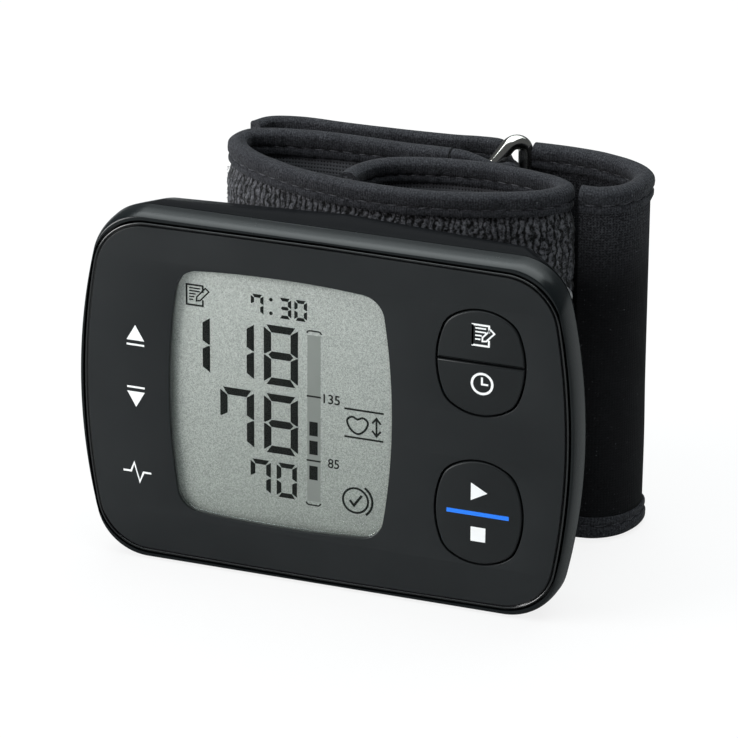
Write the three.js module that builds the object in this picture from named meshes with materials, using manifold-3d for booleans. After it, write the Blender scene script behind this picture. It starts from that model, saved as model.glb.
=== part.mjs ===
// A wrist blood pressure monitor: a slim display case carried on a coiled fabric cuff.
// Millimetres, +Z up. The face looks along -Y and X runs across it.
// Depth is counted backwards along +Y from the face, height from the resting plane.

import * as THREE from 'three';
import { mergeVertices } from 'three/addons/utils/BufferGeometryUtils.js';
import Module from 'manifold-3d';

const wasm = await Module();
wasm.setup();

// Driving dimensions of the case
const bodyWidth = 88.8;
const bodyHeight = 63.4;
const bodyDepth = 13.4;
const bodyCorner = 9.4;
const sideBow = 2.5;
const wall = 1.5;
const seat = 0.2;
const overrun = 5;

// Bezel round the face
const rimInset = 0.5;
const rimInsetHigh = 0.75;
const rimTop = 0.15;
const widestDepth = 3.8;
const partingDepth = 5.3;
const lipDepth = 1.1;
const lipWall = 0.7;

// Taper of the rear case
const backInset = 4.6;
const taperPower = 1.15;
const backRound = 1.2;

// Face panel
const grooveGap = 0.35;
const panelMargin = 1.25;
const panelMarginHigh = 1.3;
const panelCorner = 9.7;
const panelBow = 1.8;
const panelBowHigh = 0.28;
const panelThickness = 1.25;
const panelEdge = 0.3;
const floorThickness = 1.0;
const panelBed = 0.3;

// Display window and the display behind it
const windowLeftMargin = 16.7;
const windowKeyGap = 7.68;
const windowTopMargin = 8.35;
const windowBottomMargin = 9.85;
const windowCorner = 4.2;
const windowBow = 1.4;
const windowBowHigh = 0.6;
const lensThickness = 0.9;
const lensGap = 0.12;
const glassMargin = 1.35;
const frontGlass = 1.05;
const rearGlass = 0.85;
const glassGap = 0.1;
const terminalLedge = 1.1;
const holderWall = 0.9;
const holderDepth = 2.65;
const holderLip = 0.8;
const stripThickness = 1.4;
const stripShare = 0.6;

// Keys
const keyWidth = 15.85;
const keyCorner = 4.6;
const keyBow = 0.8;
const keyRightMargin = 8.77;
const keyTopMargin = 8.3;
const keyBottomMargin = 8.9;
const keySpacing = 7.8;
const keyGap = 0.35;
const splitGap = 0.35;
const keyProud = 0.12;
const keyEdge = 0.35;
const keyDepth = 2.85;
const flangeReach = 0.6;
const flangeThickness = 0.6;
const plungerRadius = 1.6;
const keyTravel = 0.5;
const domeRadius = 2.6;
const domeHeight = 0.32;
const domeRiseShare = 0.2;
const domeFlankShare = 0.55;

// Main board and what it carries
const boardDepth = 4.95;
const boardThickness = 0.9;
const boardMargin = 1.1;
const chipSize = 9;
const chipThickness = 1.2;
const chipXShare = 0.36;
const chipZShare = -0.06;
const sensorSize = 7;
const sensorThickness = 3.2;
const sensorPort = 1.3;
const sensorPortLength = 2.4;
const sensorPortHole = 0.5;
const sensorGap = 0.95;
const sensorZShare = -0.2;

// Cells, tray and cover
const cellRadius = 5.25;
const cellLength = 44.5;
const cellNub = 1.0;
const cellNubRadius = 2.6;
const cellGap = 0.25;
const cellSpacing = 10.8;
const trayInset = 1.8;
const trayWall = 0.7;
const trayRib = 1.4;
const trayRibShares = [-0.3, 0.3];
const trayOpen = 3.4;
const springLength = 2.6;
const springWire = 0.3;
const springRadius = 2.4;
const springTurns = 4;
const springSides = 5;
const contactThickness = 0.4;
const contactHeight = 7.5;
const coverWall = 1.1;
const coverMargin = 0.9;
const coverCorner = 2.4;
const coverDraft = 0.5;
const coverRound = 1.2;
const coverRollShares = [0.3, 0.7];
const coverGripDepth = 0.35;
const coverGripWidth = 0.8;
const coverGripPitch = 1.9;
const coverGripCount = 5;
const coverGripStart = 3.6;
const coverGripShare = 0.35;
const openingRim = 1.2;
const coverLap = 1.4;
const hookLength = 6;
const hookReach = 0.7;
const hookThickness = 0.8;
const hookClearance = 0.35;
const hookShare = 0.55;

// Air circuit
const pumpRadius = 4.7;
const pumpMotorLength = 14.5;
const pumpHeadLength = 10.5;
const pumpStep = 0.5;
const pumpWallGap = 0.15;
const pumpZShare = -0.17;
const pumpCollarShare = 0.4;
const pumpNeckShare = 0.33;
const valveRadius = 3.1;
const valveLength = 10.5;
const valveGap = 0.45;
const valveZShare = -0.16;
const portRadius = 1.1;
const portLength = 2.2;
const manifoldRadius = 1.5;
const manifoldRise = 3;
const manifoldShoulder = 2.4;
const stemRadius = 1.6;
const stemBore = 0.8;
const stemZShare = 0.2;

// Case screws
const screwHeadRadius = 1.7;
const screwHeadHeight = 1.2;
const screwRadius = 0.9;
const screwBossRadius = 2.3;
const screwSink = 1.0;
const screwLength = 7;
const screwSlot = 0.5;
const screwSlotShare = 0.6;
const screwRimShare = 0.3;
const screwCrownShare = 0.75;
const screwCoverGap = 1.25;
const rightScrewInset = 6.66;
const leftScrewInsetHigh = 4.12;
const rightScrewInsetHigh = 8.88;

// Cuff, seen in plan: the band's centre line
const cuffHeight = 64.7;
const cuffRise = 0.65;
const cuffHalfWidth = 31;
const cuffFront = 23.5;
const cuffDepth = 26.8;
const frontCurveShare = 0.39;
const frontReachShares = [0.8, 0.64, 0.46, 0.28, 0.1, -0.1, -0.28, -0.46, -0.64, -0.82];
const curledEndShares = [
  [-0.242, 0.153], [-0.229, 0.28], [-0.165, 0.422], [-0.042, 0.519], [0.113, 0.578],
  [0.277, 0.612], [0.484, 0.625], [0.703, 0.588], [0.86, 0.53], [0.925, 0.44], [0.89, 0.34],
];
const leftLoopShares = [
  [-0.95, 0.384], [-1.013, 0.51], [-0.985, 0.646], [-0.865, 0.713], [-0.661, 0.757],
  [-0.377, 0.784], [-0.048, 0.79], [0.161, 0.79],
];
const tailShares = [
  [0.37, 1.058], [0.26, 1.058], [0.113, 1.03], [-0.21, 1], [-0.532, 0.985], [-0.806, 0.98],
  [-0.955, 0.92], [-1.01, 0.81],
];
const ringBandShares = [
  [1.016, 0.444], [1.13, 0.463], [1.226, 0.549], [1.276, 0.69], [1.268, 0.84], [1.165, 0.975],
  [0.985, 1.06], [0.79, 1.09], [0.6, 1.09],
];
const seamGap = 0.35;

// Cuff layers, as distances from the centre line, outwards positive
const layerGap = 0.15;
const coverThickness = 0.95;
const curlerThickness = 0.5;
const bladderThickness = 0.8;
const liningThickness = 0.7;
const edgeThickness = 1.7;
const bindingWall = 0.6;
const strapBindingWall = 0.45;
const bindingWidth = 4.2;
const bindingRound = 0.8;
const pinchWidth = 3.6;
const curlerMargin = 7;
const bladderMargin = 9;
const curlerStartShare = 0.05;
const curlerEndShare = 0.95;
const bladderStartShare = 0.3;
const bladderEndShare = 0.93;
const strapThickness = 1.4;
const ringBandThickness = 2.4;
const patchThickness = 0.7;
const patchMargin = 6;
const patchStartShare = 0.42;
const patchEndShare = 0.86;

// Ring
const ringWire = 2.6;
const ringSpan = 6.2;
const ringOverhang = 1.9;
const ringTurn = Math.PI / 4;
const ringLift = 0.4;
const ringXShare = 0.4484;
const ringDepthShare = 0.985;
const ringPlay = 1.1;
const keeperThickness = 0.6;
const keeperLength = 2.4;
const keeperMargin = 9;
const keeperMouth = Math.PI * 0.4;
const foldBottomGap = 0.6;
const foldTopGap = 0.5;
const foldTaper = 1.2;

// Plinth behind the rear case and the plate that holds the cuff
const plateThickness = 1.6;
const plateHalfWidth = 10.2;
const plateHalfHeight = 17;
const plateCorner = 3;
const plinthHalfWidth = 11.8;
const plinthHalfHeight = 22.5;
const plinthCorner = 5;
const plinthDraft = 2.2;
const plateScrewShare = 0.41;
const plinthCoverGap = 0.4;

// Where the part stands: the bottom strip's middle is the origin
const restDepth = 8;

// Facet counts
const cornerSteps = 7;
const sideSteps = 4;
const roundSteps = 20;
const smallSteps = 12;
const ringSteps = 8;
const lineSteps = 24;
const slabSteps = 10;
const rimShares = [0, 0.3, 0.6, 0.85, 1];
const rearShares = [0, 0.25, 0.5, 0.75, 1];
const bendAngle = 0.25;
const longestStep = 6.5;
const samePoint = 0.008;

const middle = bodyHeight / 2;
const halfWidth = bodyWidth / 2;
const halfHeight = bodyHeight / 2;
const floorFront = panelThickness + panelBed;
const floorBack = floorFront + floorThickness;
const counterbore = bodyDepth - screwSink;
const shoulder = counterbore - screwHeadHeight - seat;
const postEnd = shoulder - wall - seat;

// Materials
function plastic(colour, roughness) {
  return new THREE.MeshStandardMaterial({ color: colour, roughness, metalness: 0 });
}
function metal(colour, roughness) {
  return new THREE.MeshStandardMaterial({ color: colour, roughness, metalness: 1 });
}
const panelBlack = plastic(0x34383a, 0.4);
const bezelBlack = plastic(0x2a3034, 0.3);
const rearBlack = plastic(0x1d2124, 0.5);
const keyBlack = plastic(0x3a3d40, 0.45);
const clearLens = plastic(0xdfe5e2, 0.1);
const displayGrey = plastic(0xa9afa8, 0.35);
const glassGrey = plastic(0x8d948c, 0.2);
const holderWhite = plastic(0xd8d8d4, 0.6);
const rubberGrey = plastic(0x55585c, 0.8);
const boardGreen = plastic(0x1f5b3a, 0.6);
const chipBlack = plastic(0x15171a, 0.5);
const cellBlue = plastic(0x2f4f7a, 0.4);
const steel = metal(0xb9bcc0, 0.3);
const springSteel = metal(0xc8c9cc, 0.25);
const chrome = metal(0xe2e4e6, 0.08);
const brass = metal(0xc9a45c, 0.35);
const softTube = plastic(0xc9c9c4, 0.7);
const pileBlack = plastic(0x2b2b2e, 0.95);
const liningBlack = plastic(0x36363a, 0.9);
const tapeGrey = plastic(0x3e3e44, 0.85);
const meshGrey = plastic(0x2e2e33, 0.9);
const bladderGrey = plastic(0x8a8d90, 0.6);
const leafWhite = plastic(0xcfcfca, 0.5);

// Geometry helpers
function closedGeometry(positions, triangles) {
  const geometry = new THREE.BufferGeometry();
  geometry.setAttribute('position', new THREE.Float32BufferAttribute(positions, 3));
  let volume = 0;
  const a = new THREE.Vector3();
  const b = new THREE.Vector3();
  const c = new THREE.Vector3();
  for (const [i, j, k] of triangles) {
    a.fromArray(positions, i * 3);
    b.fromArray(positions, j * 3);
    c.fromArray(positions, k * 3);
    volume += a.dot(b.cross(c));
  }
  const facing = volume < 0 ? triangles.map(([i, j, k]) => [i, k, j]) : triangles;
  geometry.setIndex(facing.flat());
  return geometry;
}

function solid(geometry) {
  const bare = geometry.clone();
  bare.deleteAttribute('normal');
  bare.deleteAttribute('uv');
  const merged = mergeVertices(bare);
  return new wasm.Manifold(new wasm.Mesh({
    numProp: 3,
    vertProperties: new Float32Array(merged.attributes.position.array),
    triVerts: new Uint32Array(merged.index.array),
  }));
}

function joined(solids) {
  return solids.reduce((sum, next) => sum.add(next));
}

function cut(body, tools) {
  return tools.reduce((rest, tool) => rest.subtract(tool), body);
}

const pieces = new THREE.Group();

function place(name, shape, material) {
  const made = shape.isBufferGeometry ? solid(shape) : shape;
  const { vertProperties, triVerts } = made.getMesh();
  const geometry = new THREE.BufferGeometry();
  geometry.setAttribute('position', new THREE.BufferAttribute(new Float32Array(vertProperties), 3));
  geometry.setIndex(new THREE.BufferAttribute(new Uint32Array(triVerts), 1));
  geometry.computeVertexNormals();
  const mesh = new THREE.Mesh(geometry, material);
  mesh.name = name;
  pieces.add(mesh);
  return mesh;
}

// A closed outline with bowed sides and round corners, counter-clockwise, centred on zero.
function bowedOutline(halfX, halfZ, corner, bowX, bowZ) {
  const cornerX = halfX - corner - bowX;
  const cornerZ = halfZ - corner - bowZ;
  const sideAngle = 2 * Math.atan(bowX / cornerZ);
  const topAngle = 2 * Math.atan(bowZ / cornerX);
  const quarter = [];
  if (bowX > 0) {
    const radius = (cornerZ * cornerZ + bowX * bowX) / (2 * bowX);
    for (let i = 0; i < sideSteps; i++) {
      const angle = sideAngle * i / sideSteps;
      const x = cornerX + bowX - radius + (radius + corner) * Math.cos(angle);
      quarter.push([x, (radius + corner) * Math.sin(angle)]);
    }
  }
  for (let i = 0; i <= cornerSteps; i++) {
    const angle = sideAngle + (Math.PI / 2 - topAngle - sideAngle) * i / cornerSteps;
    quarter.push([cornerX + corner * Math.cos(angle), cornerZ + corner * Math.sin(angle)]);
  }
  if (bowZ > 0) {
    const radius = (cornerX * cornerX + bowZ * bowZ) / (2 * bowZ);
    for (let i = 1; i <= sideSteps; i++) {
      const angle = Math.PI / 2 - topAngle + topAngle * i / sideSteps;
      const z = cornerZ + bowZ - radius + (radius + corner) * Math.sin(angle);
      quarter.push([(radius + corner) * Math.cos(angle), z]);
    }
  }
  const mirrored = [
    ...quarter,
    ...quarter.map(([x, z]) => [-x, z]).reverse(),
    ...quarter.map(([x, z]) => [-x, -z]),
    ...quarter.map(([x, z]) => [x, -z]).reverse(),
  ];
  const near = ([x, z], [u, w]) => Math.hypot(x - u, z - w) < samePoint;
  return mirrored.filter((point, i) => !near(point, mirrored[(i + 1) % mirrored.length]));
}

function roundedOutline(halfX, halfZ, corner) {
  return bowedOutline(halfX, halfZ, corner, 0, 0);
}

function movedOutline(points, x, z) {
  return points.map(([u, w]) => [u + x, w + z]);
}

// A solid through equal-count outlines at rising depths, capped flat at both ends.
function loft(rings) {
  const positions = [];
  const triangles = [];
  const count = rings[0].outline.length;
  for (const ring of rings) {
    for (const [x, z] of ring.outline) {
      positions.push(x, ring.depth, z);
    }
  }
  for (let r = 0; r + 1 < rings.length; r++) {
    for (let i = 0; i < count; i++) {
      const next = (i + 1) % count;
      const a = r * count + i;
      const b = r * count + next;
      triangles.push([a, a + count, b], [b, a + count, b + count]);
    }
  }
  const last = (rings.length - 1) * count;
  for (const [start, flip] of [[0, false], [last, true]]) {
    const outline = rings[start / count].outline.map(([x, z]) => new THREE.Vector2(x, z));
    for (const [i, j, k] of THREE.ShapeUtils.triangulateShape(outline, [])) {
      triangles.push(flip ? [start + i, start + k, start + j] : [start + i, start + j, start + k]);
    }
  }
  return solid(closedGeometry(positions, triangles));
}

function plate(outline, front, back) {
  return loft([{ outline, depth: front }, { outline, depth: back }]);
}

// A cylinder whose axis runs along depth, or along height.
function depthRod(radius, x, z, front, back, steps = smallSteps) {
  const geometry = new THREE.CylinderGeometry(radius, radius, back - front, steps);
  geometry.translate(x, (front + back) / 2, z);
  return solid(geometry);
}

function heightRod(radius, x, depth, bottom, top, steps = roundSteps) {
  const geometry = new THREE.CylinderGeometry(radius, radius, top - bottom, steps);
  geometry.rotateX(Math.PI / 2);
  geometry.translate(x, depth, (bottom + top) / 2);
  return solid(geometry);
}

function block(lowX, highX, front, back, bottom, top) {
  const geometry = new THREE.BoxGeometry(highX - lowX, back - front, top - bottom);
  geometry.translate((lowX + highX) / 2, (front + back) / 2, (bottom + top) / 2);
  return solid(geometry);
}

// A turned piece: its profile is [radius, distance along the axis] and its axis runs along depth.
function turned(profile, x, depth, z, steps = roundSteps) {
  const points = profile.map(([radius, along]) => new THREE.Vector2(radius, along));
  const geometry = new THREE.LatheGeometry(points, steps);
  geometry.translate(x, depth, z);
  return solid(geometry);
}

// Outlines of the case at a depth
function caseOutline(shrinkX, shrinkZ, corner = bodyCorner) {
  const outline = bowedOutline(halfWidth - shrinkX, halfHeight - shrinkZ, corner, sideBow, 0);
  return movedOutline(outline, 0, middle);
}

function rimRings() {
  return rimShares.map((share) => {
    const angle = share * Math.PI / 2;
    const inset = 1 - Math.sin(angle);
    return {
      outline: caseOutline(rimInset * inset, rimInsetHigh * inset),
      depth: rimTop + (widestDepth - rimTop) * (1 - Math.cos(angle)),
    };
  });
}

function rearInset(depth) {
  const share = Math.max(0, (depth - partingDepth) / (bodyDepth - partingDepth));
  return backInset * Math.pow(share, taperPower);
}

function rearRings(shrink, front, back, round) {
  const straightEnd = back - round;
  const rings = rearShares.map((share) => {
    const depth = front + (straightEnd - front) * share;
    return { outline: caseOutline(rearInset(depth) + shrink, shrink, bodyCorner - shrink), depth };
  });
  for (const angle of [Math.PI / 4, Math.PI / 2]) {
    const depth = straightEnd + round * Math.sin(angle);
    const inset = shrink + round * (1 - Math.cos(angle));
    rings.push({ outline: caseOutline(rearInset(depth) + inset, inset, bodyCorner - shrink), depth });
  }
  return rings;
}

// Layout of the face: the keys stand off the right edge, and the window fills what they leave
const keyHeight = (bodyHeight - keyTopMargin - keySpacing - keyBottomMargin) / 2;
const keyX = halfWidth - keyRightMargin - keyWidth / 2;
const upperKeyZ = bodyHeight - keyTopMargin - keyHeight / 2;
const lowerKeyZ = keyBottomMargin + keyHeight / 2;
const windowLeft = windowLeftMargin - halfWidth;
const windowRight = keyX - keyWidth / 2 - windowKeyGap;
const windowWidth = windowRight - windowLeft;
const windowHeight = bodyHeight - windowTopMargin - windowBottomMargin;
const windowX = (windowLeft + windowRight) / 2;
const windowZ = windowBottomMargin + windowHeight / 2;

function windowOutline(grow) {
  const outline = bowedOutline(
    windowWidth / 2 + grow, windowHeight / 2 + grow, windowCorner + grow, windowBow, windowBowHigh,
  );
  return movedOutline(outline, windowX, windowZ);
}

function keyOutline(grow, z) {
  const outline = bowedOutline(
    keyWidth / 2 + grow, keyHeight / 2 + grow, keyCorner + grow, keyBow, keyBow,
  );
  return movedOutline(outline, keyX, z);
}

const glassHalfX = windowWidth / 2 + glassMargin;
const glassHalfZ = windowHeight / 2 + glassMargin;
const holderHalfX = glassHalfX + seat + holderWall;
const holderHalfZ = glassHalfZ + seat + holderWall;

function centredBlock(halfX, halfZ, front, back) {
  return block(windowX - halfX, windowX + halfX, front, back, windowZ - halfZ, windowZ + halfZ);
}

function panelOutline(grow) {
  const outline = bowedOutline(
    halfWidth - panelMargin + grow, halfHeight - panelMarginHigh + grow,
    panelCorner + grow, panelBow, panelBowHigh,
  );
  return movedOutline(outline, 0, middle);
}

// Front panel: a thin plate with its window, its key openings and a broken edge
function frontPanel() {
  const body = loft([
    { outline: panelOutline(-panelEdge), depth: 0 },
    { outline: panelOutline(0), depth: panelEdge },
    { outline: panelOutline(0), depth: panelThickness },
  ]);
  const through = [-overrun, panelThickness + overrun];
  return cut(body, [
    plate(windowOutline(lensGap), ...through),
    plate(keyOutline(0, upperKeyZ), ...through),
    plate(keyOutline(0, lowerKeyZ), ...through),
  ]);
}

// Front case: rounded bezel, recess for the panel, floor, skirt and screw posts
function frontCase() {
  const rings = rimRings();
  rings.push({ outline: caseOutline(0, 0), depth: partingDepth - seat });
  const outer = loft(rings);
  const recess = panelOutline(grooveGap);
  const cavity = caseOutline(wall, wall, bodyCorner - wall);
  const lipOut = wall + seat;
  const lipIn = lipOut + lipWall;
  const lip = caseOutline(lipOut, lipOut, bodyCorner - lipOut);
  const lipInside = caseOutline(lipIn, lipIn, bodyCorner - lipIn);
  const behind = loft(rearRings(lipOut, partingDepth, bodyDepth, backRound));
  const room = plate(lip, 0, partingDepth).add(behind);
  const lipRing = cut(
    plate(lip, floorBack, partingDepth + lipDepth), [plate(lipInside, 0, bodyDepth)],
  );
  const shell = cut(outer, [
    plate(recess, -overrun, floorFront),
    plate(cavity, floorBack, bodyDepth),
  ]);
  const posts = screwPlaces.map(
    ([x, z]) => depthRod(screwBossRadius, x, z, floorFront + seat, postEnd),
  );
  const bridge = cut(
    plate(cavity, floorBack - seat, partingDepth - seat), [plate(lipInside, 0, bodyDepth)],
  );
  const body = joined([shell, bridge, joined([lipRing, ...posts]).intersect(room)]);
  const openings = [
    centredBlock(holderHalfX + seat, holderHalfZ + seat, 0, bodyDepth),
    plate(keyOutline(keyGap / 2, upperKeyZ), 0, floorBack),
    plate(keyOutline(keyGap / 2, lowerKeyZ), 0, floorBack),
    ...screwPlaces.map(([x, z]) => depthRod(screwRadius + seat, x, z, floorBack, bodyDepth)),
  ];
  return cut(body, openings);
}

// Display: lens, two glasses with a terminal ledge, holder and elastomer strips
const glassFront = floorFront - panelBed + lensGap;
const glassMiddle = glassFront + frontGlass + glassGap;
const glassBack = glassMiddle + rearGlass;
const holderBack = floorFront + holderDepth;

function displayLens() {
  const back = panelThickness - lensGap;
  return loft([
    { outline: windowOutline(-lensGap), depth: back - lensThickness },
    { outline: windowOutline(0), depth: back - lensThickness + lensGap },
    { outline: windowOutline(0), depth: back },
  ]);
}

function lcdHolder() {
  const outer = centredBlock(holderHalfX, holderHalfZ, floorFront, holderBack);
  return cut(outer, [
    centredBlock(glassHalfX + seat, glassHalfZ + seat, 0, glassBack + seat),
    centredBlock(glassHalfX - holderLip, glassHalfZ - holderLip, 0, bodyDepth),
  ]);
}

function placeDisplay() {
  place('display_lens', displayLens(), clearLens);
  const shortHalf = glassHalfZ - terminalLedge;
  const front = centredBlock(glassHalfX, shortHalf, glassFront, glassFront + frontGlass);
  place('lcd_front_glass', front, displayGrey);
  const rear = centredBlock(glassHalfX, glassHalfZ, glassMiddle, glassBack);
  place('lcd_rear_glass', rear, glassGrey);
  place('lcd_holder', lcdHolder(), holderWhite);
  const boardLeft = trayRight + seat;
  const stripRight = windowX + glassHalfX - holderLip - seat;
  const stripReach = (stripRight - boardLeft) * stripShare;
  const stripMiddle = (stripRight + boardLeft) / 2;
  for (const [name, side] of [['lcd_connector_upper', 1], ['lcd_connector_lower', -1]]) {
    const outer = windowZ + side * (glassHalfZ - holderLip - seat);
    const inner = outer - side * stripThickness;
    const strip = block(
      stripMiddle - stripReach / 2, stripMiddle + stripReach / 2, glassBack + seat, boardDepth - seat,
      Math.min(inner, outer), Math.max(inner, outer),
    );
    place(name, strip, rubberGrey);
  }
}

// Keys: the upper squircle is split in two, and each half has its own switch
function keyBody(z, bottom, top) {
  const shape = (grow) => keyOutline(grow - keyGap, z);
  const cap = loft([
    { outline: shape(-keyEdge), depth: -keyProud },
    { outline: shape(0), depth: keyEdge - keyProud },
    { outline: shape(0), depth: keyDepth },
  ]);
  const flange = plate(shape(keyGap + flangeReach), keyDepth, keyDepth + flangeThickness);
  const slab = block(keyX - keyWidth, keyX + keyWidth, -overrun, bodyDepth, bottom, top);
  const plungerZ = (Math.max(bottom, z - keyHeight / 2) + Math.min(top, z + keyHeight / 2)) / 2;
  const plungerEnd = boardDepth - seat - domeHeight - keyTravel - seat;
  const plunger = depthRod(plungerRadius, keyX, plungerZ, keyDepth, plungerEnd, smallSteps);
  return joined([cap, flange]).intersect(slab).add(plunger);
}

function placeKeys() {
  const half = splitGap / 2;
  const quarter = keyHeight / 4;
  const keys = [
    ['memory', upperKeyZ, upperKeyZ + half, upperKeyZ + keyHeight, upperKeyZ + quarter],
    ['clock', upperKeyZ, upperKeyZ - keyHeight, upperKeyZ - half, upperKeyZ - quarter],
    ['start_stop', lowerKeyZ, lowerKeyZ - keyHeight, lowerKeyZ + keyHeight, lowerKeyZ],
  ];
  const domeProfile = [
    [0, 0],
    [domeRadius * domeFlankShare, domeHeight * domeRiseShare],
    [domeRadius, domeHeight],
    [0, domeHeight],
  ];
  for (const [name, z, bottom, top, domeZ] of keys) {
    place(`${name}_button`, keyBody(z, bottom, top), keyBlack);
    const dome = turned(domeProfile, keyX, boardDepth - seat - domeHeight, domeZ, smallSteps);
    place(`${name}_switch`, dome, springSteel);
  }
}

// Cells, tray and cover, laid out from the left wall of the rear case
const trayLeft = -(halfWidth - backInset - wall) + trayInset;
const leftCellX = trayLeft + trayWall + cellGap + cellRadius;
const rightCellX = leftCellX + cellSpacing;
const trayRight = rightCellX + cellRadius + cellGap + trayWall;
const trayFront = holderBack + seat;
const cellDepth = trayFront + trayWall + cellGap + cellRadius;
const hookBack = bodyDepth - wall - hookClearance;
const hookFront = hookBack - hookThickness;
const trayBack = hookFront;
const cellHalfSpace = (cellLength + springLength) / 2 + contactThickness + seat;
const openingHalfZ = cellHalfSpace + seat;
const openingLeft = trayLeft + trayWall;
const openingRight = trayRight + openingRim;
const trayHalfHeight = cellHalfSpace + trayWall;
const coverInside = cellDepth + cellRadius + cellGap;
const coverFront = bodyDepth + seat;
const coverBack = coverInside + coverWall;
const coverLeft = trayLeft;
const coverRight = openingRight + coverLap;
const coverMiddleX = (coverLeft + coverRight) / 2;
const coverHalfX = (coverRight - coverLeft) / 2;
const coverHalfZ = openingHalfZ + coverMargin + coverWall;

// The screws keep clear of the cover on the left and of the case's corners on the right
const leftScrewX = coverRight + screwCoverGap + seat + screwHeadRadius;
const rightScrewX = halfWidth - rightScrewInset;
const screwPlaces = [
  [leftScrewX, bodyHeight - leftScrewInsetHigh],
  [leftScrewX, leftScrewInsetHigh],
  [rightScrewX, bodyHeight - rightScrewInsetHigh],
  [rightScrewX, rightScrewInsetHigh],
];

// The plinth stands beside the cover, and the cuff and the pump are placed from the plinth
const cuffX = coverRight + plinthCoverGap + plinthHalfWidth;
const cuffBottom = middle + cuffRise - cuffHeight / 2;
const cuffTop = cuffBottom + cuffHeight;
const pumpX = cuffX + plinthHalfWidth - wall - pumpWallGap - pumpRadius;
const valveX = pumpX - pumpRadius - valveGap - valveRadius;
const sensorX = valveX - valveRadius - sensorGap - sensorSize / 2;

function batteryTray() {
  const top = middle + trayHalfHeight;
  const bottom = middle - trayHalfHeight;
  const inside = loft(rearRings(wall + seat, partingDepth, bodyDepth, backRound));
  const front = plate(caseOutline(wall * 2, wall * 2, bodyCorner - wall * 2), 0, partingDepth);
  const shell = cut(block(trayLeft, trayRight, trayFront, trayBack, bottom, top), [
    block(
      trayLeft + trayWall, trayRight - trayWall, trayFront + trayWall, bodyDepth,
      bottom + trayWall, top - trayWall,
    ),
  ]);
  const ribs = trayRibShares.map((share) => {
    const low = middle + cellLength * share - trayRib / 2;
    return block(trayLeft, trayRight, trayFront, cellDepth - trayOpen, low, low + trayRib);
  });
  const cradles = [leftCellX, rightCellX].map(
    (x) => heightRod(cellRadius + cellGap, x, cellDepth, bottom + trayWall, top - trayWall),
  );
  return cut(joined([shell, ...ribs]).intersect(inside.add(front)), cradles);
}

function placeCells() {
  const cells = [
    ['battery_1', 'battery_spring_1', 'battery_contact_1', leftCellX, 1],
    ['battery_2', 'battery_spring_2', 'battery_contact_2', rightCellX, -1],
  ];
  for (const [cell, spring, contact, x, up] of cells) {
    const base = middle - up * (cellHalfSpace - contactThickness - seat - springLength);
    const end = base + up * cellLength;
    const canEnd = end - up * cellNub;
    const can = heightRod(cellRadius, x, cellDepth, Math.min(base, canEnd), Math.max(base, canEnd));
    const nub = heightRod(
      cellNubRadius, x, cellDepth, Math.min(base, end), Math.max(base, end), smallSteps,
    );
    place(cell, can.add(nub), cellBlue);
    place(contact, contactPlate(x, middle + up * cellHalfSpace, up), springSteel);
    place(spring, coilSpring(x, base - up * seat, up), springSteel);
  }
}

function contactPlate(x, face, up) {
  const inner = face - up * contactThickness;
  const half = contactHeight / 2;
  return block(
    x - half, x + half, cellDepth - half, cellDepth + half,
    Math.min(face, inner), Math.max(face, inner),
  );
}

// A round section for a swept wire or tube
function roundSection(radius, sides) {
  const circle = new THREE.Path().absarc(0, 0, radius, 0, 2 * Math.PI);
  return new THREE.Shape(circle.getPoints(sides).slice(0, sides));
}

// A coil as one unbroken wire along a helix
class Helix extends THREE.Curve {
  constructor(x, depth, start, length, radius, turns) {
    super();
    Object.assign(this, { x, depth, start, length, radius, turns });
  }

  getPoint(share, target = new THREE.Vector3()) {
    const angle = share * this.turns * 2 * Math.PI;
    return target.set(
      this.x + this.radius * Math.cos(angle),
      this.depth + this.radius * Math.sin(angle),
      this.start + this.length * share,
    );
  }
}

function coilSpring(x, top, up) {
  const length = springLength - springWire * 2;
  const start = top - up * springWire;
  const helix = new Helix(x, cellDepth, start, -up * length, springRadius, springTurns);
  const wire = new THREE.ExtrudeGeometry(roundSection(springWire, springSides), {
    steps: springTurns * ringSteps, extrudePath: helix, bevelEnabled: false,
  });
  return solid(wire);
}

function batteryCover() {
  const shape = (shrink) => movedOutline(
    roundedOutline(coverHalfX - shrink, coverHalfZ - shrink, coverCorner), coverMiddleX, middle,
  );
  const straight = coverBack - coverRound;
  const [rollIn, rollBack] = coverRollShares.map((share) => coverRound * share);
  const outer = loft([
    { outline: shape(0), depth: coverFront },
    { outline: shape(coverDraft), depth: straight },
    { outline: shape(coverDraft + rollIn), depth: straight + rollBack },
    { outline: shape(coverDraft + coverRound), depth: coverBack },
  ]);
  const inner = loft([
    { outline: shape(coverWall), depth: coverFront - overrun },
    { outline: shape(coverWall + coverDraft), depth: coverInside },
  ]);
  const grips = [];
  const gripHalf = coverHalfZ * coverGripShare;
  for (let i = 0; i < coverGripCount; i++) {
    const x = coverLeft + coverGripStart + i * coverGripPitch;
    grips.push(block(
      x - coverGripWidth / 2, x + coverGripWidth / 2, coverBack - coverGripDepth,
      coverBack + overrun, middle - gripHalf, middle + gripHalf,
    ));
  }
  const rim = plate(caseOutline(backInset + backRound, 0), 0, coverBack);
  const rimInside = plate(caseOutline(backInset + backRound + coverWall, 0), 0, coverBack);
  const shell = cut(outer.intersect(rim), [inner.intersect(rimInside), ...grips]);
  const hooks = [1, -1].flatMap((side) => {
    const z = middle + side * coverHalfZ * hookShare;
    const span = [z - hookLength / 2, z + hookLength / 2];
    const face = openingRight - seat;
    return [
      block(face - hookThickness, face, hookFront, coverInside + coverWall / 2, ...span),
      block(face - hookThickness, face + hookReach, hookFront, hookBack, ...span),
    ];
  });
  return joined([shell, ...hooks]);
}

// The cuff's centre lines, in plan
function cuffPoint([across, back]) {
  return new THREE.Vector2(cuffX + across * cuffHalfWidth, cuffFront + back * cuffDepth);
}

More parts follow.
